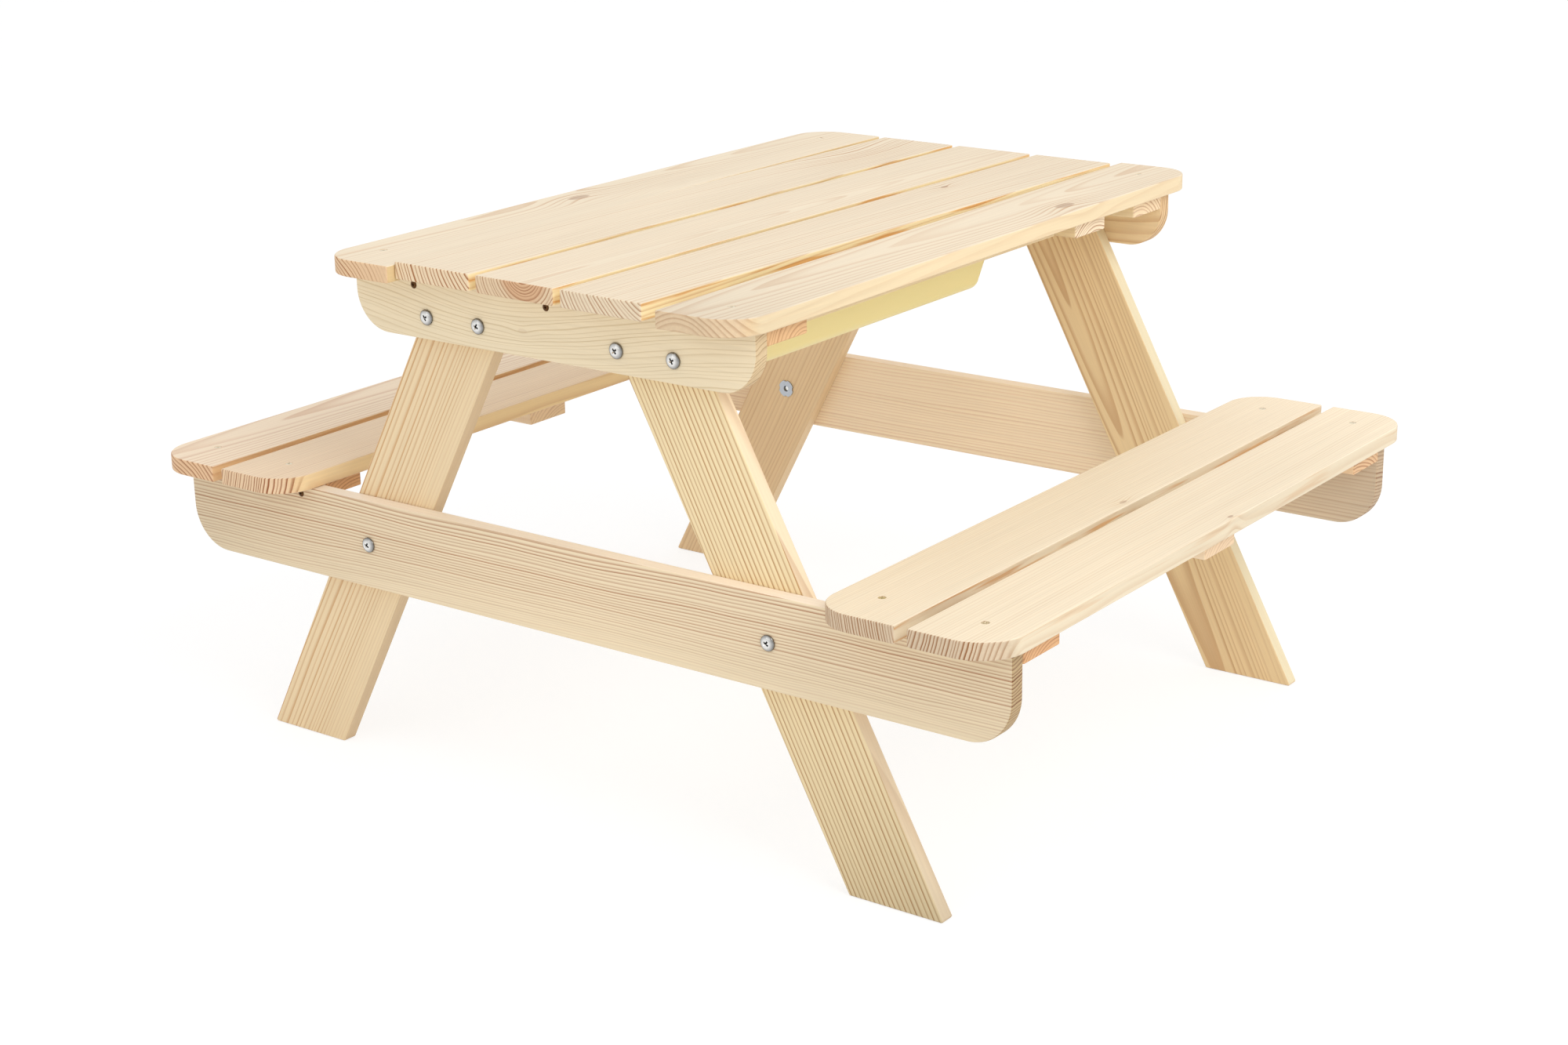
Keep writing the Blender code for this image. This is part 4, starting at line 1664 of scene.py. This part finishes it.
def turned(name: str, profile: list[tuple[float, float]], steps: int) -> bpy.types.Mesh:
    """Turn a profile round the Z axis into a closed mesh.

    Args:
        name: Name of the mesh.
        profile: Its radii and heights, from the top of the axis to its foot.
        steps: Steps of the turn.

    Returns:
        The mesh.
    """
    bm = bmesh.new()
    rings = []
    for radius, height in profile:
        angles = [math.tau * step / steps for step in range(steps)] if radius else [0.0]
        rings.append([bm.verts.new((radius * math.cos(angle), radius * math.sin(angle), height))
                      for angle in angles])
    for first, second in zip(rings, rings[1:]):
        for index in range(steps):
            corners = [first[index - 1], first[index]] if len(first) > 1 else [first[0]]
            corners += [second[index], second[index - 1]] if len(second) > 1 else [second[0]]
            bm.faces.new(corners)
    bmesh.ops.recalc_face_normals(bm, faces=bm.faces)
    return finished(bm, name)


@dataclass(frozen=True)
class Bolt:
    """A domed bolt, with its head above Z and its shank below.

    Args:
        length: Length of the shank.
        head_radius: Radius of the head.
        head_height: Height of the head.
        rim: Height of the head's rim.
        rim_ease: How far the rim's foot is eased.
        shank: Radius of the shank.
        tip: Radius of the shank's end.
        tip_ease: Height of that end's slope.
        recess: The cross recess.
        dome_steps: Steps of the dome.
        steps: Steps of the turn.
        clean: Share of the head's radius that has no painted shade.
        rim_soil: How dark the painted shade at the rim gets.
        recess_reach: Share of the head's radius within which the recess lies.
        recess_shade: Depth under the dome's top at which the recess gets painted shade.
    """

    length: float
    head_radius: float = 0.00725
    head_height: float = 0.0034
    rim: float = 0.0008
    rim_ease: float = 0.0003
    shank: float = 0.003
    tip: float = 0.0024
    tip_ease: float = 0.0006
    recess: CrossRecess = CrossRecess(0.0074, 0.0018, 0.0024)
    dome_steps: int = 9
    steps: int = 40
    clean: float = 0.45
    rim_soil: float = 0.8
    recess_reach: float = 0.5
    recess_shade: float = 0.0006

    def profile(self) -> list[tuple[float, float]]:
        """Draw half the bolt's outline.

        Returns:
            Its radii and heights.
        """
        points = [(0.0, self.head_height)]
        for step in range(1, self.dome_steps + 1):
            angle = math.pi / 2 * step / self.dome_steps
            points.append((self.head_radius * math.sin(angle),
                           self.rim + (self.head_height - self.rim) * math.cos(angle)))
        return points + [(self.head_radius, self.rim_ease),
                         (self.head_radius - self.rim_ease, 0.0), (self.shank, 0.0),
                         (self.shank, -self.length + self.tip_ease), (self.tip, -self.length),
                         (0.0, -self.length)]

    def write_soil(self, mesh: bpy.types.Mesh) -> None:
        """Darken the head towards its rim and in its recess.

        Args:
            mesh: The bolt.
        """
        values = []
        for vertex in mesh.vertices:
            share = math.hypot(vertex.co.x, vertex.co.y) / self.head_radius
            # Painted shade and painted dark reflection: darker towards the rim, and fully dark in
            # the recess.
            rim = self.rim_soil * min(max((share - self.clean) / (1.0 - self.clean), 0.0), 1.0)
            sunk = 0.0 < vertex.co.z < self.head_height - self.recess_shade
            values.append(1.0 if share < self.recess_reach and sunk else rim)
        mesh.attributes.new(PAINTED_SHADE, "FLOAT", "POINT").data.foreach_set("value", values)

    def mesh(self) -> bpy.types.Mesh:
        """Make the bolt.

        Returns:
            Its mesh.
        """
        mesh = self.recess.cut(turned("bolt", self.profile(), self.steps), self.head_height)
        self.write_soil(mesh)
        return mesh


@dataclass(frozen=True)
class Screw:
    """A countersunk wood screw, with its head towards Z.

    Args:
        profile: Its radii and heights.
        recess: The cross recess.
        steps: Steps of the turn.
    """

    profile: tuple[tuple[float, float], ...]
    recess: CrossRecess
    steps: int = 24

    def mesh(self) -> bpy.types.Mesh:
        """Return the screw's mesh."""
        return self.recess.cut(turned("screw", self.profile, self.steps), self.profile[0][1])


class Spread:
    """Sets fasteners on points with Geometry Nodes, each turned by its own chance."""

    # Numbers of a random value node's greatest number and of the number that it gives.
    RANDOM_INPUT = 3
    RANDOM_OUTPUT = 1

    def __init__(self) -> None:
        """Build the tree."""
        inputs = {"Geometry": "NodeSocketGeometry", "Fastener": "NodeSocketObject",
                  "Turn Seed": "NodeSocketInt", "Finish": "NodeSocketMaterial"}
        group = Group("fasteners_on_points", "GeometryNodeTree", inputs,
                      {"Geometry": "NodeSocketGeometry"})
        g, given = group.graph, group.inputs
        facing = g.add("GeometryNodeInputNamedAttribute", {"Name": FACING},
                       data_type="FLOAT_VECTOR").outputs["Attribute"]
        aimed = g.add("FunctionNodeAlignRotationToVector", {"Vector": facing}, axis="Z").outputs[0]
        chance = g.add("FunctionNodeRandomValue",
                       {self.RANDOM_INPUT: math.tau, "Seed": given["Turn Seed"]},
                       data_type="FLOAT").outputs[self.RANDOM_OUTPUT]
        spin = g.add("FunctionNodeAxisAngleToRotation",
                     {"Axis": (0.0, 0.0, 1.0), "Angle": chance}).outputs[0]
        turn = g.add("FunctionNodeRotateRotation", {"Rotation": aimed, "Rotate By": spin},
                     rotation_space="LOCAL").outputs[0]
        made = g.add("GeometryNodeObjectInfo", {"Object": given["Fastener"]}).outputs["Geometry"]
        placed = g.add("GeometryNodeInstanceOnPoints",
                       {"Points": given["Geometry"], "Instance": made, "Rotation": turn})
        real = g.add("GeometryNodeRealizeInstances", {"Geometry": placed.outputs[0]})
        final = g.add("GeometryNodeSetMaterial",
                      {"Geometry": real.outputs[0], "Material": given["Finish"]})
        self.tree = group.finish({"Geometry": final.outputs[0]})

    def scatter(self, name: str, fastener: bpy.types.Object, places: list[Place], seed: int,
                finish: bpy.types.Material) -> bpy.types.Mesh:
        """Set a fastener on every place.

        Args:
            name: Name of the mesh.
            fastener: The object that is repeated, with its head towards Z.
            places: The point and the outward direction of each.
            seed: Seed of the turns.
            finish: Material of the fastener.

        Returns:
            One mesh with all of them.
        """
        points = bpy.data.meshes.new(name)
        points.from_pydata([tuple(place) for place, _ in places], [], [])
        points.attributes.new(FACING, "FLOAT_VECTOR", "POINT").data.foreach_set(
            "vector", [number for _, way in places for number in way])
        holder = hold(name, points)
        modifier = holder.modifiers.new("spread", "NODES")
        modifier.node_group = self.tree
        keys = {item.name: item.identifier for item in self.tree.interface.items_tree
                if item.in_out == "INPUT"}
        for title, value in (("Fastener", fastener), ("Turn Seed", seed), ("Finish", finish)):
            modifier[keys[title]] = value
        return evaluated(holder)


@dataclass(frozen=True)
class Fasteners:
    """Domed bolts, pronged nuts and countersunk wood screws.

    Args:
        nodes: The CAD nodes by name.
        fixings: Where they go.
        spread: Repeats them.
        nut_reach: How much further a bolt reaches into its nut than the CAD bolt does.
        crease: Angle past which an edge stays sharp.
    """

    nodes: dict[str, bpy.types.Object]
    fixings: Fixings
    spread: Spread
    nut_reach: float = 0.0020
    crease: float = math.radians(32)

    # The bolts' dark colour is their painted shade in the recess and at the rim.
    BOLT_ZINC = Metal("bolt_zinc", (232, 231, 228), (52, 48, 44), 0.12)
    NUT_ZINC = Metal("nut_zinc", (184, 189, 195), (96, 98, 100), 0.3)
    PLANK_SCREW = Screw(((0.0, -0.0002), (0.0033, -0.0002), (0.0034, -0.0004), (0.0016, -0.0028),
                         (0.0016, -0.012), (0.0, -0.014)), CrossRecess(0.0040, 0.0009, 0.0016))
    PLANK_SCREW_ZINC = Metal("plank_screw_zinc", (226, 216, 192), (120, 110, 88), 0.35)
    DARK_SCREW = Screw(((0.0, 0.0010), (0.0022, 0.0008), (0.0034, 0.0001), (0.0036, -0.0005),
                        (0.0016, -0.0030), (0.0016, -0.012), (0.0, -0.014)),
                       CrossRecess(0.0040, 0.0010, 0.0016))
    DARK_SCREW_ZINC = Metal("dark_screw", (96, 66, 40), (50, 34, 22), 0.4)
    TURN_SEEDS = {"domed_bolts": 5, "plank_screws": 8, "batten_screws": 9}

    def show(self, name: str, single: bpy.types.Mesh, places: list[Place], finish: Metal,
             nodes: list[str]) -> None:
        """Repeat a fastener, show the result and put the single one away.

        Args:
            name: Name of the piece.
            single: The fastener.
            places: Where it goes.
            finish: Its finish.
            nodes: The CAD nodes that they stand for.
        """
        fastener = hold("single_" + name, single)
        mesh = self.spread.scatter(name, fastener, places, self.TURN_SEEDS[name],
                                   finish.material())
        mesh.shade_smooth()
        mesh.set_sharp_from_angle(angle=self.crease)
        put(name, mesh, "frame", nodes)
        bpy.data.objects.remove(fastener)

    def bolts(self) -> None:
        """Build the bolts in place of the CAD ones."""
        names = sorted(name for name in self.nodes if "_bolt_" in name)
        low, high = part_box(names[0])
        shank = high.y - low.y - Bolt.head_height
        bolt = Bolt(shank + self.nut_reach)
        places = []
        for name in names:
            low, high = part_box(name)
            centre = (low + high) / 2
            sign = End.NEAR.value if "_near_" in name else End.FAR.value
            face = low.y if sign < 0 else high.y
            places.append((Vector((centre.x, face - sign * bolt.head_height, centre.z)),
                           Vector((0, sign, 0))))
        self.show("domed_bolts", bolt.mesh(), places, self.BOLT_ZINC, names)

    def nuts(self) -> None:
        """Dress the CAD nuts in plated steel."""
        finish = self.NUT_ZINC.material()
        for name in sorted(self.nodes):
            if "_nut_" in name:
                self.nodes[name].data.materials.clear()
                self.nodes[name].data.materials.append(finish)

    def screws(self) -> None:
        """Build the pale screws of the planks and the dark ones of the aprons and beams."""
        flat = [place for plank in self.fixings.PLANK_SCREWS
                for place in self.fixings.plank_screws(plank)]
        self.show("plank_screws", self.PLANK_SCREW.mesh(), flat, self.PLANK_SCREW_ZINC, [])
        sideways = [place for kind in self.fixings.EDGE_SCREWS for end in End
                    for place in self.fixings.edge_screws(kind, end)]
        self.show("batten_screws", self.DARK_SCREW.mesh(), sideways, self.DARK_SCREW_ZINC, [])

    def build(self) -> None:
        """Build every kind."""
        self.bolts()
        self.nuts()
        self.screws()


# Light and camera

@dataclass(frozen=True)
class Lamp:
    """A soft square lamp.

    Args:
        name: Name of the lamp.
        place: Where it stands.
        aim: What it is turned to.
        size: Its width.
        power: Its power.
        tint: Its colour.
    """

    name: str
    place: Triple
    aim: Triple
    size: float
    power: float
    tint: Colour = (1.0, 1.0, 1.0)

    def build(self) -> None:
        """Place the lamp."""
        data = bpy.data.lights.new(self.name, "AREA")
        data.size = self.size
        data.energy = self.power
        data.color = self.tint
        light = hold(self.name, data)
        light.location = self.place
        away = Vector(self.place) - Vector(self.aim)
        light.rotation_euler = away.to_track_quat("Z", "Y").to_euler()


@dataclass(frozen=True)
class Studio:
    """The pale floor, the soft light and the camera at the photograph's viewing angle.

    Args:
        azimuth: Turn of the camera about the upright, from the near end to the right.
        elevation: Its height as an angle.
        roll: Its tilt.
        target: The point that it looks at.
        distance: Its distance from there.
        focal: Focal length by the picture's width.
        sensor: Width of the sensor, in millimetres.
        room: Strength of the room's light.
        floor_pale: Grey of the floor as it lights the object.
        floor_seen: Grey of the floor as the camera sees it.
        floor_shine: Share of that grey which the floor's own light makes up for.
        floor_size: Half the floor's width.
        floor_drop: How far the floor lies under the feet.
        lamps: The lamps.
    """

    azimuth: float = math.radians(36.585)
    elevation: float = math.radians(18.124)
    roll: float = math.radians(-0.965)
    target: Triple = (0.00508, -0.01458, 0.19358)
    distance: float = 2.60671
    focal: float = 3399.70 / 2000
    sensor: float = 36.0
    room: float = 0.80
    floor_pale: float = 0.92
    floor_seen: float = 0.30
    floor_shine: float = 0.8
    floor_size: float = 12.0
    floor_drop: float = 0.0005
    lamps: tuple[Lamp, ...] = (
        Lamp("key", (2.8, -0.8, 2.7), (0.0, 0.0, 0.3), 2.0, 50.0, (1.0, 0.99, 0.97)),
        Lamp("front", (-0.6, -3.2, 1.8), (0.0, 0.0, 0.4), 2.4, 8.0),
    )

    def camera(self) -> None:
        """Place the camera and make it the scene's."""
        a, e = self.azimuth, self.elevation
        back = Vector((math.sin(a) * math.cos(e), -math.cos(a) * math.cos(e), math.sin(e)))
        right = Vector((math.cos(a), math.sin(a), 0.0))
        up = back.cross(right)
        spun_right = right * math.cos(self.roll) + up * math.sin(self.roll)
        spun_up = up * math.cos(self.roll) - right * math.sin(self.roll)
        lens = bpy.data.cameras.new("camera")
        lens.sensor_width = self.sensor
        lens.lens = self.focal * self.sensor
        camera = hold("camera", lens)
        turn = Matrix((spun_right, spun_up, back)).transposed().to_4x4()
        camera.matrix_world = Matrix.Translation(Vector(self.target) + back * self.distance) @ turn
        bpy.context.scene.camera = camera

    def seen(self, g: Graph) -> Socket:
        """Tell the camera's rays, also in metal or through glass, from the light's.

        Args:
            g: The tree that asks.

        Returns:
            One for the camera's rays and nothing for the others.
        """
        path = g.add("ShaderNodeLightPath").outputs
        clear = g.math("MAXIMUM", path["Is Glossy Ray"], path["Is Transmission Ray"])
        return g.math("MAXIMUM", path["Is Camera Ray"], clear)

    def floor(self) -> None:
        """Make the plain pale floor, which keeps a faint shadow of the object."""
        bm = bmesh.new()
        bmesh.ops.create_grid(bm, x_segments=1, y_segments=1, size=self.floor_size)
        mesh = finished(bm, "floor")
        material, g, shader = new_material("floor")
        seen = self.seen(g)
        shade = g.line(seen, self.floor_seen - self.floor_pale, self.floor_pale)
        shine = g.times(seen, 1.0 - self.floor_seen * self.floor_shine)
        g.fill(shader, {"Base Color": g.triple(shade), "Emission Color": WHITE,
                        "Emission Strength": shine, "Roughness": 1.0, "Specular IOR Level": 0.0})
        mesh.materials.append(material)
        floor = hold("floor", mesh)
        floor.location.z = -self.floor_drop

    def world(self) -> None:
        """Light from a white room, which the camera sees as plain white."""
        world = bpy.data.worlds.new("studio")
        world.use_nodes = True
        g = Graph(world.node_tree)
        strength = g.line(self.seen(g), 1.0 - self.room, self.room)
        g.fill(world.node_tree.nodes["Background"], {"Strength": strength, "Color": WHITE})
        bpy.context.scene.world = world
        bpy.context.scene.view_settings.view_transform = "Standard"

    def build(self) -> None:
        """Set the whole stage."""
        self.camera()
        self.floor()
        for lamp in self.lamps:
            lamp.build()
        self.world()


def main() -> None:
    """Build the looks piece by piece."""
    logging.basicConfig(level=logging.INFO, format="%(name)s %(message)s")
    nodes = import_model()["nodes"]
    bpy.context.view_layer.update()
    fixings = Fixings(tuple(nodes))
    shop = Workshop(nodes, fixings, Pine(PineRings().build(), PineTone().build()))
    for assembly in (TableTop(), TopFrame(), Trestles(), Benches()):
        assembly.build(shop)
    SandTray(*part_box("sand_tray")).build()
    Fasteners(nodes, fixings, Spread()).build()
    Studio().build()


if __name__ == "__main__":
    main()
